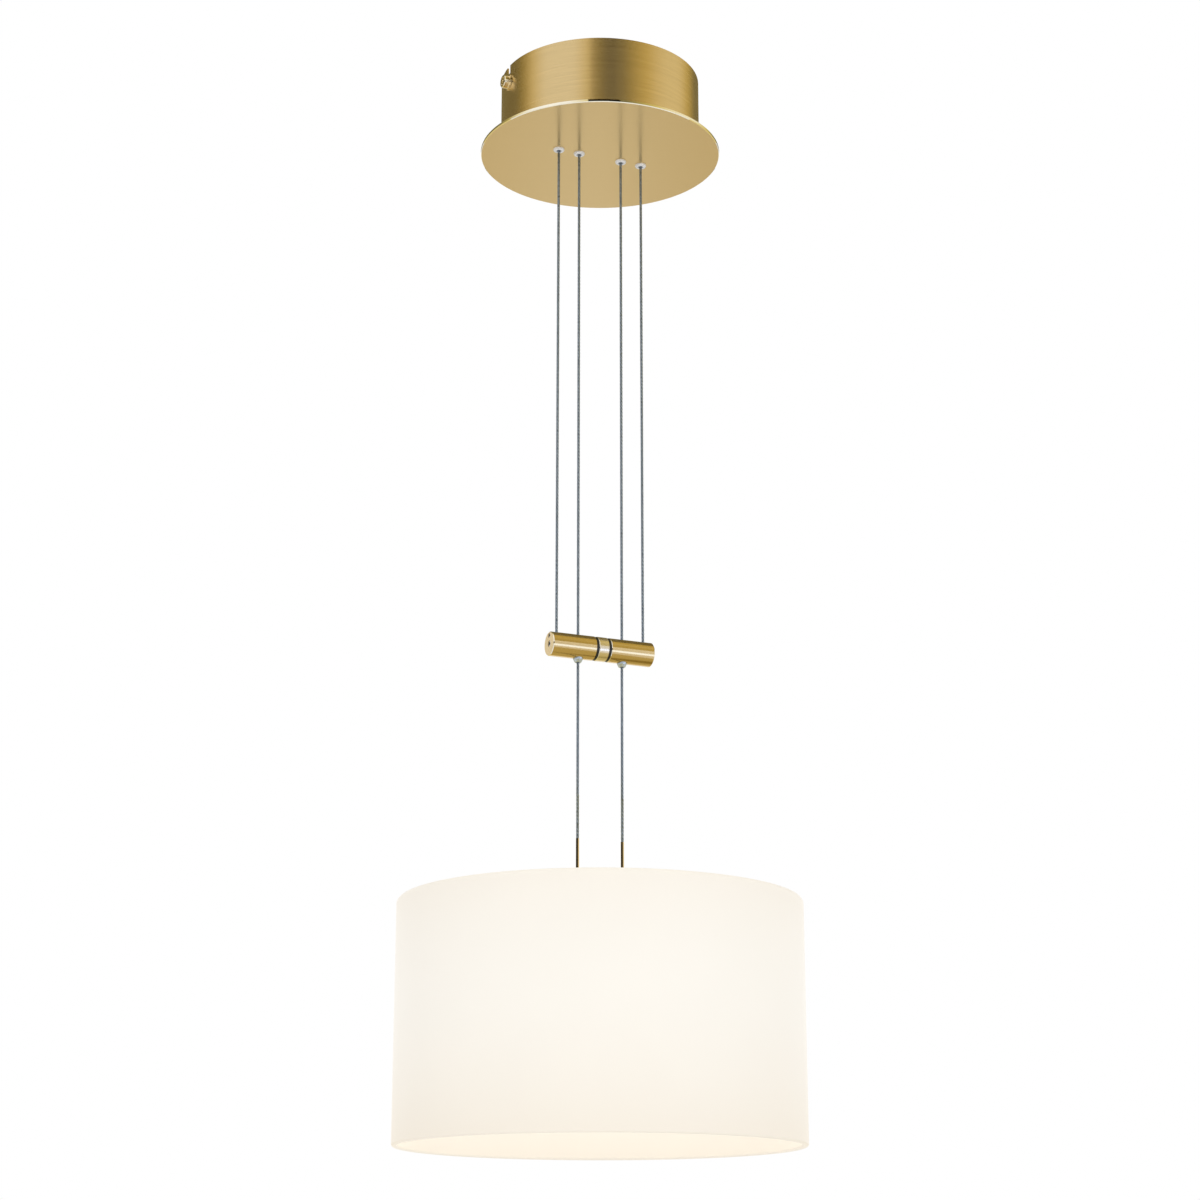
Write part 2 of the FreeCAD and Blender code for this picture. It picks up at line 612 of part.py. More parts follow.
def make_side_screws():
    """Collared screws with a tall round head that clamp the drum to the bracket's tabs."""
    head = "dims.side_head_diameter / 2"
    height = "dims.side_head_height"
    collar = "dims.side_collar_diameter / 2"
    dimple_floor = f"{height} - dims.side_dimple_depth"
    groove_floor = f"{height} - dims.side_groove_depth"
    screw = turned([
        ("0", dimple_floor),
        ("dims.side_dimple_diameter / 2", dimple_floor),
        ("dims.side_dimple_diameter / 2", height),
        ("dims.side_groove_inner / 2", height),
        ("dims.side_groove_inner / 2", groove_floor),
        ("dims.side_groove_outer / 2", groove_floor),
        ("dims.side_groove_outer / 2", height),
        (f"{head} - dims.side_head_bevel", height),
        (head, f"{height} - dims.side_head_bevel"),
        (head, "dims.side_collar_height"),
        (collar, "dims.side_collar_height"),
        (collar, "0"),
        ("dims.side_screw_diameter / 2", "0"),
        ("dims.side_screw_diameter / 2", "-dims.side_screw_reach"),
        ("0", "-dims.side_screw_reach"),
    ], x=DRUM_RADIUS, z="-dims.side_screw_drop", turn=ALONG_X)
    pair("side_screws", screw)


def make_canopy_drum():
    """A drawn tube on the plate, with a slot at each end for a side screw."""
    body = turned([
        (DRUM_INSIDE, "0"),
        (DRUM_RADIUS, "0"),
        (DRUM_RADIUS, PLATE_TOP),
        (DRUM_INSIDE, PLATE_TOP),
    ])
    round_edges(body, "dims.drum_corner", ring_edge(DRUM_RADIUS, PLATE_TOP))
    half_slot = "(dims.side_screw_diameter / 2 + dims.side_slot_room)"
    slot = new_sketch(body, "YZ_Plane")
    draw_rectangle(slot, f"-{half_slot}", half_slot, "-dims.side_screw_drop", "dims.drum_wall")
    pocket(body, slot, "2 * dims.drum_diameter", both_ways=True)
    drill(
        body, [("0", "-dims.side_screw_drop")], half_slot, "2 * dims.drum_diameter",
        role="YZ_Plane", both_ways=True,
    )
    node("canopy_drum", body)


def make_drum_flange_ring():
    """A flat ring soldered inside the drum's lower edge, which the plate's studs hold down."""
    ring = turned([
        (FLANGE_INSIDE, PLATE_TOP),
        (DRUM_INSIDE, PLATE_TOP),
        (DRUM_INSIDE, FLANGE_TOP),
        (FLANGE_INSIDE, FLANGE_TOP),
    ])
    drill(ring, stud_places()[0], STUD_HOLE, "4 * dims.drum_wall", height=PLATE_TOP, both_ways=True)
    node("drum_flange_ring", ring)


def make_canopy_plate():
    """A round plate with a bevelled lower edge and four rope holes."""
    radius = "dims.plate_diameter / 2"
    body = turned([
        ("0", PLATE_TOP),
        (radius, PLATE_TOP),
        (radius, f"{PLATE_BOTTOM} + dims.plate_bevel"),
        (f"{radius} - dims.plate_bevel", PLATE_BOTTOM),
        ("0", PLATE_BOTTOM),
    ])
    hole = "dims.eyelet_shank / 2 + dims.seat_room"
    drill(body, rope_places(), hole, "4 * dims.plate_thickness", height=PLATE_TOP, both_ways=True)
    node("canopy_plate", body)


def make_plate_studs():
    """Studs welded to the plate for the drum, the pulley blocks and the electrical parts."""
    on_flange, on_lugs = stud_places()
    stud = rod_shape("dims.stud_diameter / 2", "dims.stud_height")
    copies("plate_studs", stud, [(x, y, PLATE_TOP) for x, y in on_flange + on_lugs])


def make_stud_nuts():
    nut = doc.addObject("Part::Prism", "nut_blank")
    nut.Polygon = 6
    nut.setExpression("Circumradius", "dims.nut_width / 2 / cos(30 deg)")
    nut.setExpression("Height", "dims.nut_height")
    thread = rod_shape(
        "dims.stud_diameter / 2 + dims.thread_room", "2 * dims.nut_height", z="-dims.nut_height / 2",
    )
    form = doc.addObject("Part::Cut", "nut_form")
    form.Base = nut
    form.Tool = thread
    on_flange, on_lugs = stud_places()
    places = [(x, y, FLANGE_TOP) for x, y in on_flange]
    places += [(x, y, f"{PLATE_TOP} + dims.lug_thickness") for x, y in on_lugs]
    copies("stud_nuts", form, places)


def make_rope_eyelets():
    """White eyelets that insulate each rope from the canopy plate."""
    outside = "(dims.eyelet_diameter / 2)"
    bore = "(dims.eyelet_bore / 2)"
    shank = "(dims.eyelet_shank / 2)"
    top = "(dims.plate_thickness + dims.eyelet_entry)"
    form = turned([
        (bore, "-dims.eyelet_lip"),
        (outside, "-dims.eyelet_lip"),
        (outside, "0"),
        (shank, "0"),
        (shank, top),
        (bore, top),
    ])
    round_edges(form, "dims.eyelet_round", ring_edge(outside, "-dims.eyelet_lip"))
    round_edges(form, "dims.eyelet_bore_round", ring_edge(bore, "-dims.eyelet_lip"))
    copies("rope_eyelets", form, [(x, y, PLATE_BOTTOM) for x, y in rope_places()])


def make_transformer():
    """A potted case as deep as the room between the pulley blocks and the drum's flange ring."""
    body = new_body(y=TRANSFORMER_Y, z=PLATE_TOP)
    half = "(dims.transformer_length / 2)"
    depth = f"(({TRANSFORMER_BACK} - {TRANSFORMER_FRONT}) / 2)"
    case = new_sketch(body, "XY_Plane")
    draw_rectangle(case, f"-{half}", half, f"-{depth}", depth)
    pad(body, case, "dims.transformer_height")
    round_edges(body, "dims.transformer_corner", upright)
    lugs = new_sketch(body, "XY_Plane")
    reach = f"({half} + dims.transformer_lug)"
    draw_rectangle(lugs, f"-{reach}", reach, "-dims.small_lug_width / 2", "dims.small_lug_width / 2")
    pad(body, lugs, "dims.lug_thickness")
    holes = [(f"{sign} * {TRANSFORMER_STUD}", "0") for sign in (-1, 1)]
    drill(body, holes, STUD_HOLE, "3 * dims.lug_thickness", both_ways=True)
    node("transformer", body)


def make_terminal_block():
    """A three pole block with wells for its screws and wire entries on both long sides."""
    body = new_body(y="-dims.terminal_offset", z=PLATE_TOP)
    half = "(dims.terminal_length / 2)"
    depth = "(dims.terminal_depth / 2)"
    case = new_sketch(body, "XY_Plane")
    draw_rectangle(case, f"-{half}", half, f"-{depth}", depth)
    pad(body, case, "dims.terminal_height")
    lugs = new_sketch(body, "XY_Plane")
    reach = f"({half} + dims.terminal_lug)"
    draw_rectangle(lugs, f"-{reach}", reach, "-dims.small_lug_width / 2", "dims.small_lug_width / 2")
    pad(body, lugs, "dims.lug_thickness")
    holes = [(f"{sign} * {TERMINAL_STUD}", "0") for sign in (-1, 1)]
    drill(body, holes, STUD_HOLE, "3 * dims.lug_thickness", both_ways=True)
    wells = [
        (f"{pole} * dims.terminal_pitch", f"{side} * dims.terminal_row")
        for pole in (-1, 0, 1) for side in (-1, 1)
    ]
    well_radius = "dims.terminal_screw_diameter / 2 + dims.seat_room"
    drill(body, wells, well_radius, "dims.terminal_well", height="dims.terminal_height")
    entries = [(f"{pole} * dims.terminal_pitch", "dims.wire_entry_rise") for pole in (-1, 0, 1)]
    for sign, backwards in ((1, True), (-1, False)):
        drill(
            body, entries, "dims.wire_entry / 2", "dims.wire_entry_depth",
            height=f"{sign} * ({depth} - dims.wire_entry_depth)", role="XZ_Plane", backwards=backwards,
        )
    node("terminal_block", body)
    screw = rod_shape("dims.terminal_screw_diameter / 2", "dims.terminal_screw_height")
    well_floor = f"{PLATE_TOP} + dims.terminal_height - dims.terminal_well"
    copies("terminal_screws", screw, [(x, f"{y} - dims.terminal_offset", well_floor) for x, y in wells])


def make_pulley_block():
    """An insulating yoke on the plate: two round cheeks, a floor with rope holes, two lugs."""
    body = new_body(x=PULLEY_X, z=PLATE_TOP)
    width = f"2 * {BLOCK_SIDE}"
    foot = new_sketch(body, "XZ_Plane")
    draw_rectangle(foot, "-dims.block_reach", "dims.block_reach", "0", PULLEY_RISE)
    pad(body, foot, width, both_ways=True)
    crown = new_sketch(body, "XZ_Plane")
    draw_circles(crown, [("0", PULLEY_RISE)], "dims.block_reach")
    pad(body, crown, width, both_ways=True)
    lugs = new_sketch(body, "XY_Plane")
    draw_rectangle(
        lugs, "-dims.block_lug_width / 2", "dims.block_lug_width / 2",
        "-dims.block_lug_reach", "dims.block_lug_reach",
    )
    pad(body, lugs, "dims.lug_thickness")
    slot = new_sketch(body, "YZ_Plane")
    over_the_top = f"2 * {PULLEY_RISE} + dims.block_reach"
    draw_rectangle(slot, f"-{BLOCK_SLOT}", BLOCK_SLOT, "dims.block_floor", over_the_top)
    pocket(body, slot, "4 * dims.block_reach", both_ways=True)
    drill(
        body, [("0", PULLEY_RISE)], "dims.axle_diameter / 2 + dims.seat_room", f"2 * {width}",
        role="XZ_Plane", both_ways=True,
    )
    ropes = [(f"{sign} * dims.pulley_pitch_radius", "0") for sign in (-1, 1)]
    drill(body, ropes, f"{ROPE_RADIUS} + dims.rope_hole_room", "3 * dims.block_floor", both_ways=True)
    drill(
        body, ropes, "dims.eyelet_shank / 2 + dims.seat_room", "dims.eyelet_entry + dims.seat_room",
        backwards=True,
    )
    studs = [("0", f"{sign} * dims.block_stud_offset") for sign in (-1, 1)]
    drill(body, studs, STUD_HOLE, "3 * dims.lug_thickness", both_ways=True)
    drill(
        body, [("0", f"{PULLEY_RISE} + dims.contact_screw_rise")],
        "dims.contact_screw_diameter / 2 + dims.thread_room",
        "dims.block_cheek",
        height=f"-{BLOCK_SLOT} - dims.contact_hole_floor", role="XZ_Plane",
    )
    both_sides("pulley_block", body)


def make_pulley():
    """A brass wheel whose groove keeps the rope on its pitch circle."""
    bore = "(dims.axle_diameter / 2 + dims.running_room)"
    rim = "dims.pulley_rim_radius"
    root = f"(dims.pulley_pitch_radius - {ROPE_RADIUS} - dims.groove_room)"
    body = turned([
        (bore, "-dims.pulley_width / 2"),
        (rim, "-dims.pulley_width / 2"),
        (rim, "-dims.groove_mouth_width / 2"),
        (root, "-dims.groove_root_width / 2"),
        (root, "dims.groove_root_width / 2"),
        (rim, "dims.groove_mouth_width / 2"),
        (rim, "dims.pulley_width / 2"),
        (bore, "dims.pulley_width / 2"),
    ], x=PULLEY_X, z=PULLEY_Z, turn=ALONG_Y)
    both_sides("pulley", body)


def make_axle_and_contact():
    """The axle is riveted through the contact strip, which brings the current to the pulley."""
    head = "dims.axle_head_diameter / 2"
    shank = "dims.axle_diameter / 2"
    head_end = f"-{BLOCK_SIDE} - dims.axle_head_height"
    tail_end = f"{FLAG_FACE_Y} + dims.axle_tail"
    axle = turned([
        ("0", head_end),
        (head, head_end),
        (head, f"-{BLOCK_SIDE}"),
        (shank, f"-{BLOCK_SIDE}"),
        (shank, tail_end),
        ("0", tail_end),
    ], x=PULLEY_X, z=PULLEY_Z, turn=ALONG_Y)
    both_sides("pulley_axle", axle)

    strip = new_body(x=PULLEY_X, y=f"{BLOCK_SIDE} + dims.strip_thickness / 2", z=PULLEY_Z)
    half = "dims.strip_width / 2"
    face = new_sketch(strip, "XZ_Plane")
    draw_outline(face, [
        (f"-{half}", "-dims.strip_drop"),
        (half, "-dims.strip_drop"),
        (half, "-dims.strip_flag_drop"),
        ("dims.strip_flag", "-dims.strip_flag_drop"),
        ("dims.strip_flag", "dims.strip_flag_rise"),
        (half, "dims.strip_flag_rise"),
        (half, "dims.strip_rise"),
        (f"-{half}", "dims.strip_rise"),
    ])
    pad(strip, face, "dims.strip_thickness", both_ways=True)
    drill(
        strip, [("0", "0")], "dims.axle_diameter / 2 + dims.seat_room", "3 * dims.strip_thickness",
        role="XZ_Plane", both_ways=True,
    )
    drill(
        strip, [("0", "dims.contact_screw_rise")], "dims.contact_screw_diameter / 2 + dims.seat_room",
        "3 * dims.strip_thickness", role="XZ_Plane", both_ways=True,
    )
    both_sides("contact_strip", strip)

    screw = turned([
        ("0", "dims.contact_head_height"),
        ("dims.contact_head_diameter / 2 - dims.contact_head_bevel", "dims.contact_head_height"),
        ("dims.contact_head_diameter / 2", "dims.contact_head_height - dims.contact_head_bevel"),
        ("dims.contact_head_diameter / 2", "0"),
        ("dims.contact_screw_diameter / 2", "0"),
        ("dims.contact_screw_diameter / 2", "-dims.contact_screw_reach"),
        ("0", "-dims.contact_screw_reach"),
    ], x=PULLEY_X, y=FLAG_FACE_Y, z=f"{PULLEY_Z} + dims.contact_screw_rise", turn=ALONG_Y)
    pair("contact_screws", screw)


def make_leads():
    """Mains leads from the terminal block to the transformer, feed leads to the contact flags."""
    pole = number("dims.terminal_pitch")
    inner_side = number("dims.terminal_depth / 2 - dims.terminal_offset")
    transformer_side = number(TRANSFORMER_FRONT)
    entry = number(f"{PLATE_TOP} + dims.wire_entry_rise")
    mains = tube("mains_leads", [
        Vector(pole, inner_side, entry),
        Vector(pole, inner_side + 7, entry),
        Vector(pole - 2, inner_side + 17, entry + 5),
        Vector(pole - 3, inner_side + 28, entry + 4),
        Vector(pole - 2, transformer_side - 6, entry + 1),
        Vector(pole - 2, transformer_side, entry + 1),
    ], number("dims.lead_diameter"))
    pair("mains_leads", mains)

    flag_x = number(FLAG_LEAD_X)
    flag_z = number(FLAG_LEAD_Z)
    flag_y = number(FLAG_FACE_Y)
    exit_x = flag_x - 3
    exit_z = flag_z + 3.4
    feed = tube("feed_leads", [
        Vector(exit_x, transformer_side, exit_z),
        Vector(exit_x, transformer_side - 2.8, exit_z),
        Vector(flag_x, flag_y + 2.8, flag_z),
        Vector(flag_x, flag_y, flag_z),
    ], number("dims.feed_diameter"))
    pair("feed_leads", feed)


# ---------------------------------------------------------------- ropes

def make_ropes():
    """Each rope in three stretches: to the bar, round the pulley, to the lamp."""
    turn = doc.addObject("Part::Torus", "torus")
    turn.setExpression("Radius1", "dims.pulley_pitch_radius")
    turn.setExpression("Radius2", ROPE_RADIUS)
    turn.Angle3 = 180
    place(turn, PULLEY_X, "0", PULLEY_Z, Rotation(Vector(1, 0, 0), 90))
    both_sides("rope_pulley_turn", turn)

    anchor = f"({BAR_Z} + dims.anchor_floor)"
    bar_fall = rod_shape(ROPE_RADIUS, f"{PULLEY_Z} - {anchor}", x=OUTER_ROPE, z=anchor)
    both_sides("rope_bar_fall", bar_fall)

    core = "dims.rope_core_diameter / 2"
    core_end = f"({ROD_TOP} - dims.rope_core_length)"
    lamp_fall = turned([
        ("0", PULLEY_Z),
        (ROPE_RADIUS, PULLEY_Z),
        (ROPE_RADIUS, ROD_TOP),
        (core, ROD_TOP),
        (core, core_end),
        ("0", core_end),
    ], x=INNER_ROPE)
    both_sides("rope_lamp_fall", lamp_fall)


# ---------------------------------------------------------------- cross bar

def make_bar_sleeve():
    """One brass half of the bar, bored for its core, both ropes, the brake and the clamp."""
    core_floor = "(dims.core_length / 2 + dims.core_end_gap)"
    body = turned([
        (SLEEVE_START, CORE_BORE),
        (SLEEVE_START, f"{BAR_RADIUS} - dims.bar_bevel"),
        (f"{SLEEVE_START} + dims.bar_bevel", BAR_RADIUS),
        (f"{BAR_END} - dims.bar_bevel", BAR_RADIUS),
        (BAR_END, f"{BAR_RADIUS} - dims.bar_bevel"),
        (BAR_END, "0"),
        (core_floor, "0"),
        (core_floor, CORE_BORE),
    ], spin="H_Axis", z=BAR_Z)
    running = [(INNER_ROPE, "0")]
    drill(body, running, "dims.bar_rope_bore / 2", "2 * dims.bar_diameter", both_ways=True)
    drill(
        body, running, "dims.bush_diameter / 2 + dims.seat_room", "dims.bar_diameter",
        height=f"dims.bush_seat - {BAR_RADIUS}",
    )
    drill(
        body, running, "dims.bush_shank / 2 + dims.seat_room", "dims.bar_diameter",
        height=f"dims.bush_seat + dims.bush_shank_depth - {BAR_RADIUS}",
    )
    drill(
        body, [(OUTER_ROPE, "0")], f"{ROPE_RADIUS} + dims.anchor_room", "dims.bar_diameter",
        height="dims.anchor_floor", backwards=True,
    )
    drill(
        body, [("0", "0")], "dims.brake_screw_diameter / 2 + dims.thread_room", "dims.bar_length",
        height=INNER_ROPE, role="YZ_Plane", backwards=True,
    )
    drill(
        body, [("0", "dims.clamp_screw_rise")], "dims.clamp_screw_diameter / 2 + dims.thread_room",
        "dims.bar_length", height=OUTER_ROPE, role="YZ_Plane", backwards=True,
    )
    both_sides("bar_sleeve", body)


def make_bar_rings():
    half = "(dims.centre_ring_length / 2)"
    ring = turned([
        (f"-{half}", CORE_BORE),
        (f"-{half}", f"{BAR_RADIUS} - dims.bar_bevel"),
        (f"dims.bar_bevel - {half}", BAR_RADIUS),
        (f"{half} - dims.bar_bevel", BAR_RADIUS),
        (half, f"{BAR_RADIUS} - dims.bar_bevel"),
        (half, CORE_BORE),
    ], spin="H_Axis", z=BAR_Z)
    node("bar_centre_ring", ring)

    insulating = turned([
        (half, CORE_BORE),
        (half, "dims.insulating_ring_diameter / 2"),
        (SLEEVE_START, "dims.insulating_ring_diameter / 2"),
        (SLEEVE_START, CORE_BORE),
    ], spin="H_Axis", z=BAR_Z)
    pair("bar_insulating_rings", insulating)

    core_start = "-dims.core_length / 2"
    core = rod_shape("dims.core_diameter / 2", "dims.core_length", x=core_start, z=BAR_Z, turn=ALONG_X)
    node("bar_core", core)


def make_set_screw(start, length, diameter, key, rise):
    """A set screw along X with a hexagon socket in its outer end."""
    radius = f"({diameter} / 2)"
    screw = turned([
        ("0", "0"),
        (f"{radius} - dims.set_screw_bevel", "0"),
        (radius, "dims.set_screw_bevel"),
        (radius, length),
        ("0", length),
    ], x=start, z=f"{BAR_Z} + {rise}", turn=ALONG_X)
    socket = new_sketch(screw, "XY_Plane", length)
    draw_hexagon(socket, key)
    pocket(screw, socket, "dims.set_screw_socket")
    return screw


def make_rope_clamp_and_brake():
    """At each end one set screw clamps the fixed rope, and one presses the brake's springs."""
    clamp_start = f"({OUTER_ROPE} + {ROPE_RADIUS} + dims.plunger_gap)"
    clamp = make_set_screw(clamp_start, f"({SCREW_FACE} - {clamp_start})", "dims.clamp_screw_diameter",
                           "dims.clamp_screw_key", "dims.clamp_screw_rise")
    pair("rope_clamp_screws", clamp)
    adjuster = make_set_screw(SPRING_END, "dims.brake_screw_length", "dims.brake_screw_diameter",
                              "dims.brake_screw_key", "0")
    pair("brake_adjusters", adjuster)

    plunger = turned([
        ("0", "0"),
        ("dims.plunger_diameter / 2", "0"),
        ("dims.plunger_diameter / 2", "dims.plunger_length"),
        ("dims.spigot_diameter / 2", "dims.plunger_length"),
        ("dims.spigot_diameter / 2", "dims.plunger_length + dims.spigot_length"),
        ("0", "dims.plunger_length + dims.spigot_length"),
    ], x=PLUNGER_START, z=BAR_Z, turn=ALONG_X)
    pair("brake_plungers", plunger)

    bore = "dims.spring_disc_bore / 2"
    rim = "dims.spring_disc_diameter / 2"
    rise = f"({SPRING_END} - {SPRING_START}) / dims.spring_discs"
    edges = range(round(number("dims.spring_discs")) + 1)
    inner = [(f"{rim} - dims.spring_disc_edge" if edge % 2 else bore, f"{edge} * {rise}") for edge in edges]
    outer = [(rim if edge % 2 else f"{bore} + dims.spring_disc_edge", f"{edge} * {rise}") for edge in edges]
    spring = turned(inner + outer[::-1], x=SPRING_START, z=BAR_Z, turn=ALONG_X)
    pair("brake_springs", spring)


def make_bar_rope_bushes():
    """Tapered, rounded bushes where the running ropes leave the bar."""
    bore = "dims.bush_bore / 2"
    outside = "(dims.bush_diameter / 2)"
    tip = "(dims.bush_tip / 2)"
    rim = "(-dims.bush_seat - dims.bush_rim)"
    bottom = "(-dims.bush_seat - dims.bush_height)"
    bush = turned([
        (bore, bottom),
        (tip, bottom),
        (outside, rim),
        (outside, "0"),
        ("dims.bush_shank / 2", "0"),
        ("dims.bush_shank / 2", "dims.bush_shank_depth"),
        (bore, "dims.bush_shank_depth"),
    ], x=INNER_ROPE, z=BUSH_SEAT_Z)
    round_edges(bush, "dims.bush_rim_round", ring_edge(outside, rim))
    round_edges(bush, "dims.bush_tip_round", ring_edge(tip, bottom))
    pair("bar_rope_bushes", bush)


# ---------------------------------------------------------------- lamp

def make_rods():
    """Brass rods that take the ropes' ends and carry the lamp and its current."""
    bore = "dims.rod_bore / 2"
    bore_floor = f"({ROD_TOP} - dims.rod_bore_depth)"
    rod = turned([
        (bore, ROD_TOP),
        (ROD_RADIUS, ROD_TOP),
        (ROD_RADIUS, ROD_BOTTOM),
        ("0", ROD_BOTTOM),
        ("0", bore_floor),
        (bore, bore_floor),
    ], x=INNER_ROPE)
    both_sides("rod", rod)

    hole = f"({ROD_RADIUS} + dims.running_room)"
    flange_top = f"({HOLDER_TOP} + dims.insulator_flange_height)"
    insulator = turned([
        (hole, HOLDER_BOTTOM),
        ("dims.insulator_shank / 2", HOLDER_BOTTOM),
        ("dims.insulator_shank / 2", HOLDER_TOP),
        ("dims.insulator_flange / 2", HOLDER_TOP),
        ("dims.insulator_flange / 2", flange_top),
        (hole, flange_top),
    ], x=INNER_ROPE)
    pair("rod_insulators", insulator)


def make_shade():
    """Opal glass: an open drum with a closed top that has one round hole."""
    outside = "(dims.shade_diameter / 2)"
    inside = "(dims.shade_diameter / 2 - dims.shade_wall)"
    hole = "(dims.shade_hole / 2)"
    rim = f"({GLASS_TOP} - dims.shade_height)"
    glass = turned([
        (hole, GLASS_TOP),
        (outside, GLASS_TOP),
        (outside, rim),
        (inside, rim),
        (inside, GLASS_UNDER),
        (hole, GLASS_UNDER),
    ])
    round_edges(glass, "dims.shade_corner", ring_edge(outside, GLASS_TOP))
    round_edges(glass, "dims.shade_inner_corner", ring_edge(inside, GLASS_UNDER))
    round_edges(glass, "dims.shade_rim", ring_edge(outside, rim))
    round_edges(glass, "dims.shade_rim", ring_edge(inside, rim))
    node("shade_glass", glass)


def make_ring(label, inner_radius, outer_radius, bottom, thickness):
    node(label, turned([
        (inner_radius, bottom),
        (outer_radius, bottom),
        (outer_radius, f"{bottom} + {thickness}"),
        (inner_radius, f"{bottom} + {thickness}"),
    ]))


def make_shade_holder():
    """Plate, gaskets, disc, tube and nuts that clamp the top of the glass."""
    gasket_inner = "dims.gasket_inner_diameter / 2"
    gasket_outer = "dims.gasket_outer_diameter / 2"
    make_ring("upper_gasket", gasket_inner, gasket_outer, GLASS_TOP, "dims.gasket_thickness")
    make_ring("lower_gasket", gasket_inner, gasket_outer, CLAMP_TOP, "dims.gasket_thickness")

    nipple_hole = "(dims.nipple_hole / 2)"
    radius = "(dims.holder_diameter / 2)"
    rods = [(f"{sign} * {INNER_ROPE}", "0") for sign in (-1, 1)]
    plate = turned([
        (nipple_hole, HOLDER_BOTTOM),
        (radius, HOLDER_BOTTOM),
        (radius, f"{HOLDER_TOP} - dims.holder_bevel"),
        (f"{radius} - dims.holder_bevel", HOLDER_TOP),
        (nipple_hole, HOLDER_TOP),
    ])
    drill(plate, rods, "dims.insulator_shank / 2 + dims.seat_room", "4 * dims.holder_thickness",
          height=HOLDER_TOP, both_ways=True)
    node("holder_plate", plate)

    disc = turned([
        (nipple_hole, CLAMP_BOTTOM),
        (radius, CLAMP_BOTTOM),
        (radius, CLAMP_TOP),
        (nipple_hole, CLAMP_TOP),
    ])
    drill(disc, rods, "dims.clamp_rod_hole / 2", "4 * dims.clamp_thickness",
          height=CLAMP_TOP, both_ways=True)
    node("clamp_disc", disc)

    tube_top = f"({HOLDER_TOP} + dims.holder_nut_height + dims.nipple_top)"
    tube_bottom = f"({CARRIER_BOTTOM} + dims.nipple_recess)"
    make_ring("threaded_tube", "dims.nipple_bore / 2", "dims.nipple_diameter / 2", tube_bottom,
              f"({tube_top} - {tube_bottom})")

    knob = "dims.holder_nut_diameter / 2"
    nut_top = f"({HOLDER_TOP} + dims.holder_nut_height)"
    node("holder_nut", turned([
        (nipple_hole, HOLDER_TOP),
        (knob, HOLDER_TOP),
        (knob, f"{nut_top} - dims.holder_nut_bevel"),
        (f"{knob} - dims.holder_nut_bevel", nut_top),
        (nipple_hole, nut_top),
    ]))

    blank = doc.addObject("Part::Prism", "clamp_nut_blank")
    blank.Polygon = 6
    blank.setExpression("Circumradius", "dims.clamp_nut_width / 2 / cos(30 deg)")
    blank.setExpression("Height", "dims.clamp_nut_height")
    place(blank, z=f"{CLAMP_BOTTOM} - dims.clamp_nut_height")
    below = f"{CLAMP_BOTTOM} - 2 * dims.clamp_nut_height"
    thread = rod_shape(nipple_hole, "3 * dims.clamp_nut_height", z=below)
    nut = doc.addObject("Part::Cut", "clamp_nut_cut")
    nut.Base = blank
    nut.Tool = thread
    node("clamp_nut", nut)


def make_socket_carrier():
    """A ceramic disc on the tube, with a brass terminal in a window round each rod's end."""
    radius = "(dims.carrier_diameter / 2)"
    carrier = turned([
        ("dims.nipple_hole / 2", CARRIER_BOTTOM),
        (radius, CARRIER_BOTTOM),
        (radius, CARRIER_TOP),
        ("dims.nipple_hole / 2", CARRIER_TOP),
    ])
    half_length = "(dims.terminal_block_length / 2)"
    half_width = "(dims.terminal_block_width / 2)"
    windows = new_sketch(carrier, "XY_Plane", CARRIER_TOP)
    for sign in (-1, 1):
        draw_rectangle(
            windows,
            f"{sign} * {INNER_ROPE} - {half_length} - dims.seat_room",
            f"{sign} * {INNER_ROPE} + {half_length} + dims.seat_room",
            f"-{half_width} - dims.seat_room",
            f"{half_width} + dims.seat_room",
        )
    pocket(carrier, windows, "4 * dims.carrier_thickness", both_ways=True)
    screw_hole = "dims.rod_screw_diameter / 2 + dims.seat_room"
    middle = f"({CARRIER_TOP} + {CARRIER_BOTTOM}) / 2"
    drill(carrier, [("0", middle)], screw_hole, "dims.carrier_diameter", height=INNER_ROPE,
          role="YZ_Plane", backwards=True)
    drill(carrier, [("0", middle)], screw_hole, "dims.carrier_diameter", height=f"-{INNER_ROPE}",
          role="YZ_Plane")
    socket_screws = [("0", f"{sign} * dims.socket_screw_offset") for sign in (-1, 1)]
    drill(carrier, socket_screws, "dims.socket_screw_diameter / 2 + dims.thread_room",
          "dims.socket_screw_entry + dims.seat_room", height=CARRIER_BOTTOM, backwards=True)
    node("socket_carrier", carrier)

    block = new_body(x=INNER_ROPE, z=CARRIER_BOTTOM)
    base = new_sketch(block, "XY_Plane")
    draw_rectangle(base, f"-{half_length}", half_length, f"-{half_width}", half_width)
    pad(block, base, "dims.carrier_thickness")
    drill(block, [("0", "0")], f"{ROD_RADIUS} + dims.running_room", "dims.carrier_thickness",
          height="dims.rod_end_cover", backwards=True)
    drill(block, [("0", "dims.carrier_thickness / 2")], "dims.rod_screw_diameter / 2 + dims.thread_room",
          "dims.terminal_block_length", role="YZ_Plane", backwards=True)
    pair("rod_terminals", block)

    screw_start = f"({INNER_ROPE} + {ROD_RADIUS} + dims.plunger_gap)"
    screw_length = f"({radius} - dims.rod_screw_sink - {screw_start})"
    screw = rod_shape("dims.rod_screw_diameter / 2", screw_length, x=screw_start, z=middle, turn=ALONG_X)
    pair("rod_screws", screw)

    link = doc.addObject("Part::Box", "link_plate")
    link.setExpression("Length", "dims.link_outer_end - dims.link_inner_end")
    link.setExpression("Width", "dims.link_width")
    link.setExpression("Height", "dims.link_thickness")
    place(link, "dims.link_inner_end", "-dims.link_width / 2", SOCKET_TOP)
    pair("contact_links", link)


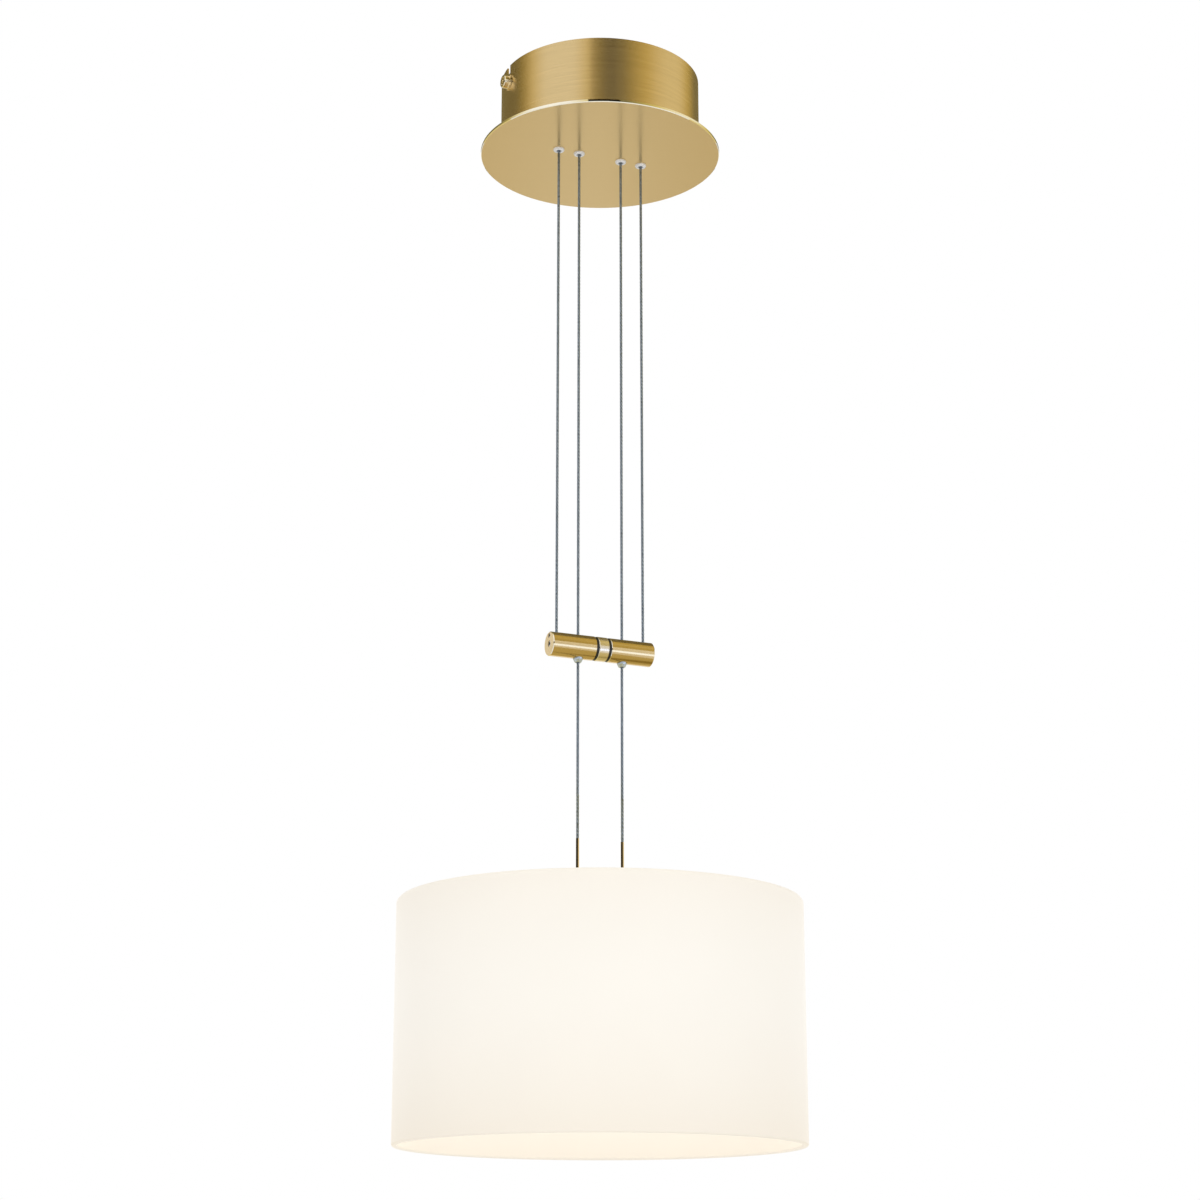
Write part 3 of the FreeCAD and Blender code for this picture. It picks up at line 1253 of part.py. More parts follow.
def make_lamp_socket():
    """A ceramic socket for a two pin lamp, and the two screws that hold it to the carrier."""
    body = new_body(z=SOCKET_BOTTOM)
    base = new_sketch(body, "XY_Plane")
    draw_rectangle(base, "-dims.socket_width / 2", "dims.socket_width / 2",
                   "-dims.socket_length / 2", "dims.socket_length / 2")
    pad(body, base, "dims.socket_height")
    round_edges(body, "dims.socket_corner", upright)
    pins = [(f"{sign} * dims.pin_pitch / 2", "0") for sign in (-1, 1)]
    drill(body, pins, "dims.pin_hole / 2", "dims.pin_hole_depth", backwards=True)
    screws = [("0", f"{sign} * dims.socket_screw_offset") for sign in (-1, 1)]
    drill(body, screws, "dims.socket_screw_diameter / 2 + dims.seat_room", "3 * dims.socket_height",
          both_ways=True)
    head_well = "(dims.socket_screw_head_height + dims.socket_screw_sink)"
    drill(body, screws, "dims.socket_screw_head / 2 + dims.seat_room", head_well, backwards=True)
    node("lamp_socket", body)

    head_face = f"({SOCKET_BOTTOM} + dims.socket_screw_sink)"
    under_head = f"({SOCKET_BOTTOM} + {head_well})"
    screw_end = f"({CARRIER_BOTTOM} + dims.socket_screw_entry)"
    screw = turned([
        ("0", head_face),
        ("dims.socket_screw_head / 2", head_face),
        ("dims.socket_screw_head / 2", under_head),
        ("dims.socket_screw_diameter / 2", under_head),
        ("dims.socket_screw_diameter / 2", screw_end),
        ("0", screw_end),
    ])
    copies("socket_screws", screw, [("0", y, "0") for _, y in screws])


def make_lamp():
    """A low voltage halogen capsule with a pinched foot and two pins."""
    foot = "(dims.lamp_foot_diameter / 2)"
    bulb = "(dims.lamp_diameter / 2)"
    top = f"({SOCKET_BOTTOM} - dims.lamp_gap)"
    shoulder = f"({top} - dims.lamp_foot_height)"
    tip = f"({top} - dims.lamp_length)"
    capsule = turned([
        ("0", top),
        (foot, top),
        (foot, shoulder),
        (bulb, shoulder),
        (bulb, tip),
        ("0", tip),
    ])
    round_edges(capsule, "dims.lamp_shoulder - 0.1", ring_edge(bulb, shoulder))
    round_edges(capsule, "dims.lamp_dome", ring_edge(bulb, tip))
    node("lamp_capsule", capsule)
    pin_height = "dims.pin_length + dims.lamp_gap"
    pin = rod_shape("dims.pin_diameter / 2", pin_height, x="dims.pin_pitch / 2", z=top)
    pair("lamp_pins", pin)


def check_document():
    """Stops on any feature that failed and on any piece without a sound shape."""
    doc.recompute()
    for thing in doc.Objects:
        if "Invalid" in thing.State or "Error" in thing.State:
            raise RuntimeError(f"{thing.Name} ({thing.Label}) failed: {thing.State}")
    for piece in nodes:
        shape = piece.Shape
        if shape.isNull() or not shape.isValid() or not shape.Solids or shape.Volume <= 0:
            raise RuntimeError(f"{piece.Label} has no sound shape")


def write_pieces():
    os.makedirs("parts", exist_ok=True)
    for piece in nodes:
        piece.Shape.exportStep(os.path.join("parts", f"{piece.Label}.step"))
        print(f"{piece.Label}: {len(piece.Shape.Solids)} solid(s), {piece.Shape.Volume:.1f} mm3")
    print(f"{len(nodes)} nodes written")


make_ceiling_bracket()
make_side_screws()
make_canopy_drum()
make_drum_flange_ring()
make_canopy_plate()
make_plate_studs()
make_stud_nuts()
make_rope_eyelets()
make_transformer()
make_terminal_block()
make_pulley_block()
make_pulley()
make_axle_and_contact()
make_leads()
make_ropes()
make_bar_sleeve()
make_bar_rings()
make_rope_clamp_and_brake()
make_bar_rope_bushes()
make_rods()
make_shade()
make_shade_holder()
make_socket_carrier()
make_lamp_socket()
make_lamp()
check_document()
write_pieces()
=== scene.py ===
"""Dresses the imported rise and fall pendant.

Every piece gets a procedural material. Laid strands replace the ropes, a brushed disc with a
polished rim replaces the canopy plate, the lamp gets its filament, and a studio stands round it all.
X runs along the bar, Z is up, and the ceiling is at 0.
"""
import json
import math

import bmesh
import bpy
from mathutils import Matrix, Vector
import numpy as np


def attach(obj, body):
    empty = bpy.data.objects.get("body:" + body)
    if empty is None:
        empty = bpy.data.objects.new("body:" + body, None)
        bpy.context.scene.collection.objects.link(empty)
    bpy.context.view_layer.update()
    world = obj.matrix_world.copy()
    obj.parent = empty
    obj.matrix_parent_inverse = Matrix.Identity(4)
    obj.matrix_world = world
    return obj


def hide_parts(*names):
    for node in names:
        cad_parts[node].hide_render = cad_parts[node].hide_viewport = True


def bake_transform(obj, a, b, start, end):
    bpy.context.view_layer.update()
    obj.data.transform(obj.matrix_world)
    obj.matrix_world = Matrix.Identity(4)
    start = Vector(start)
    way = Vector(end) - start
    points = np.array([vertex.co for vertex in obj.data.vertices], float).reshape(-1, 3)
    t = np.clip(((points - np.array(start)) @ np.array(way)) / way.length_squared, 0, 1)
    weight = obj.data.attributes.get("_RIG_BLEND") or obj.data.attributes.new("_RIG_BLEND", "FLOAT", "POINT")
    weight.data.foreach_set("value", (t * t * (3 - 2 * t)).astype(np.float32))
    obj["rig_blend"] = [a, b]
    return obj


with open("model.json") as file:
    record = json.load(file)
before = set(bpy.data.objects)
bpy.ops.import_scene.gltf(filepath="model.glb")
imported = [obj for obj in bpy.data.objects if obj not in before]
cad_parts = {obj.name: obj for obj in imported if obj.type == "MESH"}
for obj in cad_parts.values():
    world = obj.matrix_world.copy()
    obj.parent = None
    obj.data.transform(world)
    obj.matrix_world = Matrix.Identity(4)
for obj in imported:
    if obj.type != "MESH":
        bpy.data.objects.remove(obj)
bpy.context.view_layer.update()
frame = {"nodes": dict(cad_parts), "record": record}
scene = bpy.context.scene
scene.view_settings.view_transform = "Standard"


# ---------------------------------------------------------------- sizes, in metres

MM = 0.001
SIDE_WAY = Vector((1, 0, 0))
UP = Vector((0, 0, 1))

PLATE_RADIUS = 80 * MM
PLATE_BOTTOM = -53 * MM
PLATE_TOP = -51.2 * MM
PLATE_BEVEL = 0.45 * MM
PLATE_SEGMENTS = 256
PLATE_GRAIN = math.radians(-24)
ROPE_HOLE_RADIUS = 2.6 * MM
ROPE_HOLE_SEGMENTS = 48

PULLEY_X = 22.6 * MM
PULLEY_Z = -37.4 * MM
PULLEY_PITCH = 7.4 * MM
INNER_ROPE = 15.2 * MM
OUTER_ROPE = 30.0 * MM
ANCHOR_Z = -392.1 * MM
ROD_TOP = -517.5 * MM

ROPE_LAY = 14.6 * MM
ROPE_STRANDS = 6
STRAND_RADIUS = 0.31 * MM
STRAND_HELIX = 0.59 * MM
STRAND_SIDES = 8
FALL_STEPS_PER_TURN = 14
PULLEY_STEPS_PER_TURN = 20
WIRE_SMOOTH_ANGLE = 60

BAR_Z = -395 * MM
BAR_END = 35 * MM
BAR_RADIUS = 7.75 * MM
BAR_BEVEL = 0.4 * MM
CENTRE_RING_END = 3.55 * MM
SLEEVE_START = 4.95 * MM

CAPSULE_TOP = -593.3 * MM
CAPSULE_LENGTH = 40 * MM
COIL_TOP = CAPSULE_TOP - 0.42 * CAPSULE_LENGTH
COIL_LENGTH = 9 * MM
COIL_RADIUS = 0.9 * MM
COIL_TURNS = 12
COIL_STEPS_PER_TURN = 14
COIL_WIRE = 0.16 * MM
SUPPORT_FOOT = CAPSULE_TOP - 7 * MM
SUPPORT_REACH = 2.4 * MM
SUPPORT_WIRE = 0.2 * MM


# ---------------------------------------------------------------- colours

BRASS = (0.70, 0.53, 0.27)
PALE_BRASS = (0.86, 0.76, 0.55)
# Near-white brass for polished bevels and rims: a painted glint, brighter than the brass's own colour.
GLINT_BRASS = (0.95, 0.90, 0.76)
RING_BRASS = (0.86, 0.76, 0.58)
ROD_BRASS = (0.62, 0.45, 0.19)
NICKEL = (0.60, 0.69, 0.82)
ZINC = (0.62, 0.62, 0.62)
# The rope's colour runs from painted shade deep in the lay between the strands to bright steel on their
# crowns.
ROPE_LAY_SHADE = (0.012, 0.014, 0.018)
ROPE_HALF_SHADE = (0.10, 0.13, 0.17)
ROPE_BRIGHT = (0.60, 0.70, 0.84)
CLEAR_GLASS = (1.0, 1.0, 1.0)
CLEAR_GLASS_DARK = (0.97, 0.97, 0.96)
CLEAR_GLASS_GLOW = (1.0, 0.93, 0.8, 1)
TUNGSTEN = (0.35, 0.32, 0.3)
TUNGSTEN_DARK = (0.25, 0.22, 0.2)
TUNGSTEN_GLOW = (1.0, 0.86, 0.6)
TUNGSTEN_DIM_GLOW = (1.0, 0.7, 0.35)
FLOOR_DARK = (0.80, 0.795, 0.785)
FLOOR_LIGHT = (0.82, 0.815, 0.805)

# The opal glass glows from the middle colour, near the capsule, to the edge colour, far from it.
OPAL = (0.45, 0.43, 0.39)
GLOW_MIDDLE = (1.0, 0.968, 0.91)
GLOW_EDGE = (0.93, 0.845, 0.725)
GLOW_STRENGTH = 0.6
GLOW_Z = -615 * MM
GLOW_NEAR = 0.118
GLOW_FAR = 0.165
GLOW_SQUASH = 1.25

# Metals as (colour, roughness, how much the roughness varies).
METALS = {
    "polished_brass": (PALE_BRASS, 0.12, 0.03),
    "rod_brass": (ROD_BRASS, 0.07, 0.01),
    # The polished rim's near-white colour is a painted highlight.
    "rim_brass": (GLINT_BRASS, 0.06, 0.03),
    "contact_brass": (BRASS, 0.3, 0.03),
    "nickel": (NICKEL, 0.3, 0.03),
    "zinc_steel": (ZINC, 0.33, 0.03),
}

# Ceramics and plastics as (colour, roughness).
PLAINS = {
    "white_ceramic": ((0.97, 0.975, 0.985), 0.22),
    "raw_ceramic": ((0.80, 0.78, 0.72), 0.62),
    "nylon": ((0.75, 0.74, 0.70), 0.5),
    "black_plastic": ((0.012, 0.012, 0.013), 0.4),
    "transformer_case": ((0.75, 0.75, 0.74), 0.45),
    "terminal_plastic": ((0.70, 0.69, 0.64), 0.42),
    "silicone": ((0.62, 0.62, 0.60), 0.55),
    "lead_insulation": ((0.55, 0.54, 0.50), 0.5),
}

# CAD nodes that look otherwise than their slot.
NODE_LOOKS = {"bar_centre_ring": "ring_brass", "left_rod": "rod_brass", "right_rod": "rod_brass"}

# Where the noise's dark and light ends lie on a colour ramp.
NOISE_LOW = 0.3
NOISE_HIGH = 0.7

# The Mix node's colour sockets, which share their names with others.
MIX_FACTOR = 0
MIX_FIRST = 6
MIX_SECOND = 7
MIX_RESULT = 2

# The shader counts a turn of the brushing from 0 to 1.
QUARTER_TURN = 0.25


# ---------------------------------------------------------------- studio values

CAMERA_AZIMUTH = math.radians(-24)
CAMERA_TILT = math.radians(90 + 16.1)
CAMERA_DISTANCE = 1.537
CAMERA_Z = -0.806
CAMERA_LENS = 75.3
CAMERA_SENSOR = 36
CAMERA_CLIP_START = 0.05
TO_CAMERA = Vector((math.sin(CAMERA_AZIMUTH), -math.cos(CAMERA_AZIMUTH), 0))
TO_RIGHT = Vector((math.cos(CAMERA_AZIMUTH), math.sin(CAMERA_AZIMUTH), 0))

AREA_AIM = Vector((0, 0, -0.4))
AREA_SIZE = 3.0
AREA_LAMPS = (
    ("key", (-1.9, -4.1, 0.6), 64),
    ("fill", (3.2, -2.6, 0.8), 8),
    ("back", (1.0, 4.0, 1.6), 38),
)
LAMP_LIGHT_Z = CAPSULE_TOP - CAPSULE_LENGTH - 12 * MM
LAMP_LIGHT_POWER = 0.1
LAMP_LIGHT_COLOUR = (1.0, 0.86, 0.68)
LAMP_LIGHT_RADIUS = 0.02

WORLD_SOFT = 0.6
WORLD_WHITE = 1.0
FLOOR_Z = -2.4
FLOOR_REACH = 60.0
FLOOR_LIFT = 0.26

# Colours of the cards, which only reflections see.
BLACK = (0.01, 0.008, 0.004)
DARK = (0.20, 0.17, 0.075)
DIM = (0.40, 0.32, 0.10)
GOLD = (0.66, 0.53, 0.17)
PALE = (0.80, 0.70, 0.42)
WARM = (0.88, 0.81, 0.58)
WHITE = (0.98, 0.97, 0.95)
SILVER = (1.6, 1.95, 3.0)
UNDER_BAR = (0.60, 0.50, 0.22)
DARK_GOLD = (0.30, 0.22, 0.05)
FLOOR_PALE = (1.18, 1.18, 1.15)
FLOOR_GOLD = (0.74, 0.61, 0.27)

CARD_STEP = 5
WALL_REACH = 2.6
INNER_WALL_REACH = 2.5
STRIP_REACH = 1.2
ROD_EYE = -0.535
CARD_CENTRE = 0.0001
FLOOR_CARD_Z = -1.04
FLOOR_CARD_START = 0.9
FLOOR_CARD_END = 5.0
UNDER_BAR_Z = -0.49
UNDER_BAR_REACH = 0.13


def raised(elevation, eye=0.0, reach=WALL_REACH):
    """A card's edge as (reach, height), at an elevation in degrees from a height on the axis."""
    return reach, eye + reach * math.tan(math.radians(elevation))


# Cards as (name, stops, foot, head). A stop is (azimuth, colour), with the azimuth in degrees from
# the camera's side to its right.
CARDS = (
    ("card_wall", (
        (-185, DARK), (-112, DARK), (-98, DIM), (-84, PALE), (-66, WHITE), (-30, WHITE),
        (-13, PALE), (-2, DIM), (8, DARK), (25, DARK), (37, DIM), (56, GOLD), (68, PALE),
        (82, WARM), (104, WARM), (121, GOLD), (140, DARK), (175, DARK),
    ), raised(12), raised(64)),
    ("card_black", (
        (-11, BLACK), (19, BLACK),
    ), raised(24, reach=INNER_WALL_REACH), raised(31, reach=INNER_WALL_REACH)),
    ("card_over", (
        (57, GOLD), (90, GOLD), (100, DARK), (175, DARK),
    ), raised(46, reach=INNER_WALL_REACH), raised(82, reach=INNER_WALL_REACH)),
    ("card_bar_strip", (
        (38, SILVER), (60, SILVER),
    ), raised(-21, BAR_Z, STRIP_REACH), raised(-6, BAR_Z, STRIP_REACH)),
    ("card_rod", (
        (-125, BLACK), (40, BLACK),
    ), raised(2, ROD_EYE), raised(14, ROD_EYE)),
    ("card_floor", (
        (100, FLOOR_GOLD), (171, FLOOR_GOLD), (180, FLOOR_PALE), (189, FLOOR_GOLD), (260, FLOOR_GOLD),
    ), (FLOOR_CARD_START, FLOOR_CARD_Z), (FLOOR_CARD_END, FLOOR_CARD_Z)),
    ("card_under_bar", (
        (-92, UNDER_BAR), (90, UNDER_BAR), (102, DARK_GOLD), (126, DARK_GOLD), (138, UNDER_BAR),
        (268, UNDER_BAR),
    ), (CARD_CENTRE, UNDER_BAR_Z), (UNDER_BAR_REACH, UNDER_BAR_Z)),
)


# ---------------------------------------------------------------- meshes

def piece(mesh, slot, body, *nodes, look=None):
    """Adds a mesh to the scene as a piece that rides on a body and stands for CAD nodes."""
    thing = bpy.data.objects.new(mesh.name, mesh)
    scene.collection.objects.link(thing)
    mesh.materials.append(looks[look or slot])
    if body:
        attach(thing, body)
    if nodes:
        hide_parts(*nodes)
    return thing


def to_mesh(name, built, angle=35):
    """A finished mesh, smooth but for edges sharper than the angle."""
    mesh = bpy.data.meshes.new(name)
    bmesh.ops.recalc_face_normals(built, faces=built.faces)
    built.to_mesh(mesh)
    built.free()
    for face in mesh.polygons:
        face.use_smooth = True
    mesh.set_sharp_from_angle(angle=math.radians(angle))
    return mesh


def sweep(built, path, radius, sides):
    """A closed round wire along (middle, along, outward) stations."""
    rings = []
    for middle, along, outward in path:
        across = along.cross(outward).normalized()
        ring = []
        for side in range(sides):
            turn = math.tau * side / sides
            spoke = outward * math.cos(turn) + across * math.sin(turn)
            ring.append(built.verts.new(middle + spoke * radius))
        rings.append(ring)
    for lower, upper in zip(rings, rings[1:]):
        for side in range(sides):
            following = (side + 1) % sides
            built.faces.new((lower[side], lower[following], upper[following], upper[side]))
    built.faces.new(rings[0][::-1])
    built.faces.new(rings[-1])


def lay_strands(name, line, length, steps_per_turn):
    """Wire strands laid round each other.

    line(reach) gives the rope's middle, its way along and a side way at that reach. A point
    attribute is 1 on the outside of the rope and falls to 0 between the strands, where the rope's
    material paints shade.
    """
    built = bmesh.new()
    count = max(2, round(length / ROPE_LAY * steps_per_turn))
    slope = math.tau * STRAND_HELIX / ROPE_LAY
    for strand in range(ROPE_STRANDS):
        path = []
        for step in range(count + 1):
            reach = length * step / count
            middle, along, side_way = line(reach)
            third = along.cross(side_way)
            angle = math.tau * (strand / ROPE_STRANDS + reach / ROPE_LAY)
            outward = side_way * math.cos(angle) + third * math.sin(angle)
            around = third * math.cos(angle) - side_way * math.sin(angle)
            wire_way = (along + around * slope).normalized()
            path.append((middle + outward * STRAND_HELIX, wire_way, outward))
        sweep(built, path, STRAND_RADIUS, STRAND_SIDES)
    mesh = to_mesh(name, built, WIRE_SMOOTH_ANGLE)
    # Painted shade: 1 where a strand faces out of the rope, falling to 0 where it faces into the lay.
    strand_shading = mesh.attributes.new("strand_shading", "FLOAT", "POINT")
    turns = [math.cos(math.tau * side / STRAND_SIDES) for side in range(STRAND_SIDES)]
    for index, value in enumerate(strand_shading.data):
        value.value = 0.5 + 0.5 * turns[index % STRAND_SIDES]
    return mesh


def turned_ring(name, outline, segments):
    """A closed outline of (radius, height) points spun about the Z axis."""
    built = bmesh.new()
    rings = []
    for index in range(segments):
        turn = math.tau * index / segments
        rings.append([
            built.verts.new((radius * math.cos(turn), radius * math.sin(turn), height))
            for radius, height in outline
        ])
    for ring, following in zip(rings, rings[1:] + rings[:1]):
        for corner in range(len(outline)):
            after = (corner + 1) % len(outline)
            built.faces.new((ring[corner], following[corner], following[after], ring[after]))
    return to_mesh(name, built)


def holed_disc(name, loops, bottom, top):
    """A flat disc as one closed shell.

    Each loop is (x, radius, segments): the outer edge, and then the round holes.
    """
    built = bmesh.new()
    walls = []
    for x, radius, segments in loops:
        low = []
        high = []
        for index in range(segments):
            turn = math.tau * index / segments
            spot = Vector((x, 0, 0)) + Vector((math.cos(turn), math.sin(turn), 0)) * radius
            low.append(built.verts.new((spot.x, spot.y, bottom)))
            high.append(built.verts.new((spot.x, spot.y, top)))
        walls.append((low, high))
    for level in (0, 1):
        edges = []
        for wall in walls:
            line = wall[level]
            edges += [built.edges.new((line[index - 1], line[index])) for index in range(len(line))]
        bmesh.ops.triangle_fill(built, edges=edges, use_beauty=True)
    for low, high in walls:
        for index in range(len(low)):
            built.faces.new((low[index - 1], low[index], high[index], high[index - 1]))
    return to_mesh(name, built)


# ---------------------------------------------------------------- materials

class Look:
    """A procedural material under construction."""

    def __init__(self, name):
        self.material = bpy.data.materials.new(name)
        self.material.use_nodes = True
        self.nodes = self.material.node_tree.nodes
        self.links = self.material.node_tree.links
        self.shader = self.nodes["Principled BSDF"]

    def socket(self, name):
        """The shader's socket, whose spaces are written as underscores."""
        return self.shader.inputs[name.replace("_", " ")]

    def set(self, **values):
        """Sets the shader's own sockets."""
        for name, value in values.items():
            self.socket(name).default_value = value

    def feed(self, **sources):
        """Links other nodes' sockets into the shader's own."""
        for name, source in sources.items():
            self.links.new(source, self.socket(name))

    def add(self, kind, **settings):
        """A new node of a kind, with its settings."""
        made = self.nodes.new("ShaderNode" + kind)
        for name, value in settings.items():
            setattr(made, name, value)
        return made

    def calculate(self, operation, *values):
        """The result of a math operation on sockets or numbers."""
        node = self.add("Math", operation=operation)
        for socket, value in zip(node.inputs, values):
            if isinstance(value, bpy.types.NodeSocket):
                self.links.new(value, socket)
            else:
                socket.default_value = value
        return node.outputs["Value"]

    def place(self):
        """The piece's own coordinates, in metres."""
        return self.add("TexCoord").outputs["Object"]

    def axes(self):
        """The piece's own X, Y and Z."""
        split = self.add("SeparateXYZ")
        self.links.new(self.place(), split.inputs["Vector"])
        return split.outputs["X"], split.outputs["Y"], split.outputs["Z"]

    def noise(self, closeness, detail=2.0, turn=0.0):
        """Noise over the piece's own coordinates, turned about Z.

        Closeness is one number, or one for each axis.
        """
        if not isinstance(closeness, tuple):
            closeness = (closeness,) * 3
        mapping = self.add("Mapping", vector_type="TEXTURE")
        mapping.inputs["Rotation"].default_value = (0, 0, turn)
        mapping.inputs["Scale"].default_value = [1 / axis_closeness for axis_closeness in closeness]
        noise = self.add("TexNoise")
        noise.inputs["Scale"].default_value = 1.0
        noise.inputs["Detail"].default_value = detail
        self.links.new(self.place(), mapping.inputs["Vector"])
        self.links.new(mapping.outputs["Vector"], noise.inputs["Vector"])
        return noise.outputs["Fac"]

    def ramp(self, factor, *stops):
        """A colour along (position, colour) stops."""
        ramp = self.add("ValToRGB")
        elements = ramp.color_ramp.elements
        while len(elements) < len(stops):
            elements.new(0.5)
        for element, (spot, colour) in zip(elements, stops):
            element.position = spot
            element.color = (*colour, 1)
        self.links.new(factor, ramp.inputs["Fac"])
        return ramp.outputs["Color"]

    def between(self, noise, dark, light):
        """A colour that wanders between two with the noise."""
        return self.ramp(noise, (NOISE_LOW, dark), (NOISE_HIGH, light))

    def mottle(self, noise, base, low, high):
        """The base colour, from low to high times as bright with the noise."""
        return self.between(noise, tint(base, low), tint(base, high))

    def spread(self, factor, low, high, start=0.0, end=1.0):
        """A value from low to high while the factor goes from start to end."""
        node = self.add("MapRange")
        node.inputs["From Min"].default_value = start
        node.inputs["From Max"].default_value = end
        node.inputs["To Min"].default_value = low
        node.inputs["To Max"].default_value = high
        self.links.new(factor, node.inputs["Value"])
        return node.outputs["Result"]

    def blend(self, factor, first, second):
        """A colour between two colour sockets."""
        node = self.add("Mix", data_type="RGBA")
        self.links.new(factor, node.inputs[MIX_FACTOR])
        self.links.new(first, node.inputs[MIX_FIRST])
        self.links.new(second, node.inputs[MIX_SECOND])
        return node.outputs[MIX_RESULT]

    def bump(self, height, distance):
        """Fine relief, as deep as the distance."""
        node = self.add("Bump")
        node.inputs["Distance"].default_value = distance
        self.links.new(height, node.inputs["Height"])
        self.feed(Normal=node.outputs["Normal"])

    def brushed_round(self, axis, amount):
        """Fine turning marks round an axis, which draw reflections out along it."""
        node = self.add("Tangent", direction_type="RADIAL", axis=axis)
        self.feed(Tangent=node.outputs["Tangent"])
        self.set(Anisotropic=amount, Anisotropic_Rotation=QUARTER_TURN)

    def brushed_across(self, uv_map, amount):
        """Fine brushing marks that draw reflections out along the map's first axis."""
        node = self.add("Tangent", direction_type="UV_MAP", uv_map=uv_map)
        self.feed(Tangent=node.outputs["Tangent"])
        self.set(Anisotropic=amount)


def tint(colour, factor):
    """A colour made brighter or darker."""
    return tuple(min(1.0, channel * factor) for channel in colour)


def start_brushed(name, closeness, rough, uneven, bump, turn=0.0):
    """A metal with fine marks in its roughness and relief, and the noise that makes them."""
    look = Look(name)
    look.set(Metallic=1.0)
    marks = look.noise(closeness, detail=4.0, turn=turn)
    look.feed(Roughness=look.spread(marks, rough - uneven, rough + uneven))
    look.bump(marks, bump)
    return look, marks


def make_drum_brass():
    """Satin brass with marks that run round the drum."""
    look, marks = start_brushed("canopy_brass", (25, 25, 1100), rough=0.26, uneven=0.03, bump=6e-7)
    look.feed(Base_Color=look.mottle(marks, BRASS, 0.95, 1.05))
    look.brushed_round("Z", 0.75)
    return look.material


def make_plate_brass():
    """Satin brass with marks that run straight across the plate."""
    look, marks = start_brushed(
        "plate_brass", (10, 1400, 10), rough=0.33, uneven=0.004, bump=5e-8, turn=PLATE_GRAIN)
    look.feed(Base_Color=look.mottle(marks, BRASS, 0.992, 1.008))
    look.brushed_across("brushing", 1.0)
    return look.material


def colour_polished_glint(look, noise, base, polished):
    """Gives a look its base colour, and a near-white painted glint where it is polished."""
    satin = look.mottle(noise, base, 0.97, 1.03)
    bright = look.mottle(noise, GLINT_BRASS, 0.98, 1.02)
    look.feed(Base_Color=look.blend(polished, satin, bright))


def make_bar_brass():
    """Turned brass, polished on the bevels beside the rings and at the ends, which get a near-white painted
    glint.
    """
    look = Look("bar_brass")
    look.set(Metallic=1.0)
    marks = look.noise((1200, 40, 40), detail=4.0)
    along, across, height = look.axes()
    reach = look.calculate("ABSOLUTE", along)
    rise = look.calculate("SUBTRACT", height, BAR_Z)
    rise_squared = look.calculate("MULTIPLY", rise, rise)
    across_squared = look.calculate("MULTIPLY", across, across)
    radius = look.calculate("SQRT", look.calculate("ADD", rise_squared, across_squared))
    on_rim = look.calculate("GREATER_THAN", radius, BAR_RADIUS - BAR_BEVEL)
    near_end = look.calculate("GREATER_THAN", reach, BAR_END - BAR_BEVEL)
    at_end = look.calculate("MULTIPLY", on_rim, near_end)
    at_start = look.calculate("LESS_THAN", reach, SLEEVE_START + BAR_BEVEL)
    # The polished bevels get a lower roughness and a near-white painted glint.
    polished = look.calculate("MAXIMUM", at_end, at_start)
    colour_polished_glint(look, marks, BRASS, polished)
    satin_rough = look.spread(marks, 0.17, 0.23)
    smoother = look.spread(polished, 1.0, 0.4)
    look.feed(Roughness=look.calculate("MULTIPLY", satin_rough, smoother))
    look.bump(marks, 1e-6)
    look.brushed_round("X", 0.6)
    return look.material


def make_ring_brass():
    """Pale turned brass with polished lines along both ends, which get a near-white painted glint."""
    look, _ = start_brushed("ring_brass", (1600, 30, 30), rough=0.3, uneven=0.03, bump=1.5e-6)
    reach = look.calculate("ABSOLUTE", look.axes()[0])
    at_end = look.calculate("GREATER_THAN", reach, CENTRE_RING_END - BAR_BEVEL)
    colour_polished_glint(look, look.noise(300, detail=3.0), RING_BRASS, at_end)
    look.brushed_round("X", 0.6)
    return look.material


def make_rope_steel():
    """Bright steel on the rope's outside, with painted shade in the lay between the strands."""
    look = Look("rope_steel")
    look.set(Metallic=1.0)
    strand_shading = look.add("Attribute", attribute_name="strand_shading").outputs["Fac"]
    cloud = look.noise(700, detail=4.0)
    # The steel's colour darkens as painted shade towards the lay, blotched by the noise.
    shade = look.calculate("ADD", strand_shading, look.spread(cloud, -0.12, 0.12))
    look.feed(
        Base_Color=look.ramp(shade, (0.55, ROPE_LAY_SHADE), (0.78, ROPE_HALF_SHADE), (0.98, ROPE_BRIGHT)),
        Roughness=look.spread(cloud, 0.24, 0.34),
    )
    return look.material


def make_metal(name, base, rough, uneven):
    """Plain metal with soft patches."""
    look = Look(name)
    look.set(Metallic=1.0)
    cloud = look.noise(60, detail=4.0)
    look.feed(
        Base_Color=look.mottle(cloud, base, 0.95, 1.03),
        Roughness=look.spread(cloud, rough - uneven, rough + uneven),
    )
    return look.material


def make_plain(name, base, rough):
    """Ceramic or plastic with a fine grain."""
    look = Look(name)
    grain = look.noise(800, detail=3.0)
    look.feed(
        Base_Color=look.mottle(grain, base, 0.96, 1.04),
        Roughness=look.spread(grain, rough - 0.04, rough + 0.04),
    )
    look.bump(grain, 1e-5)
    return look.material


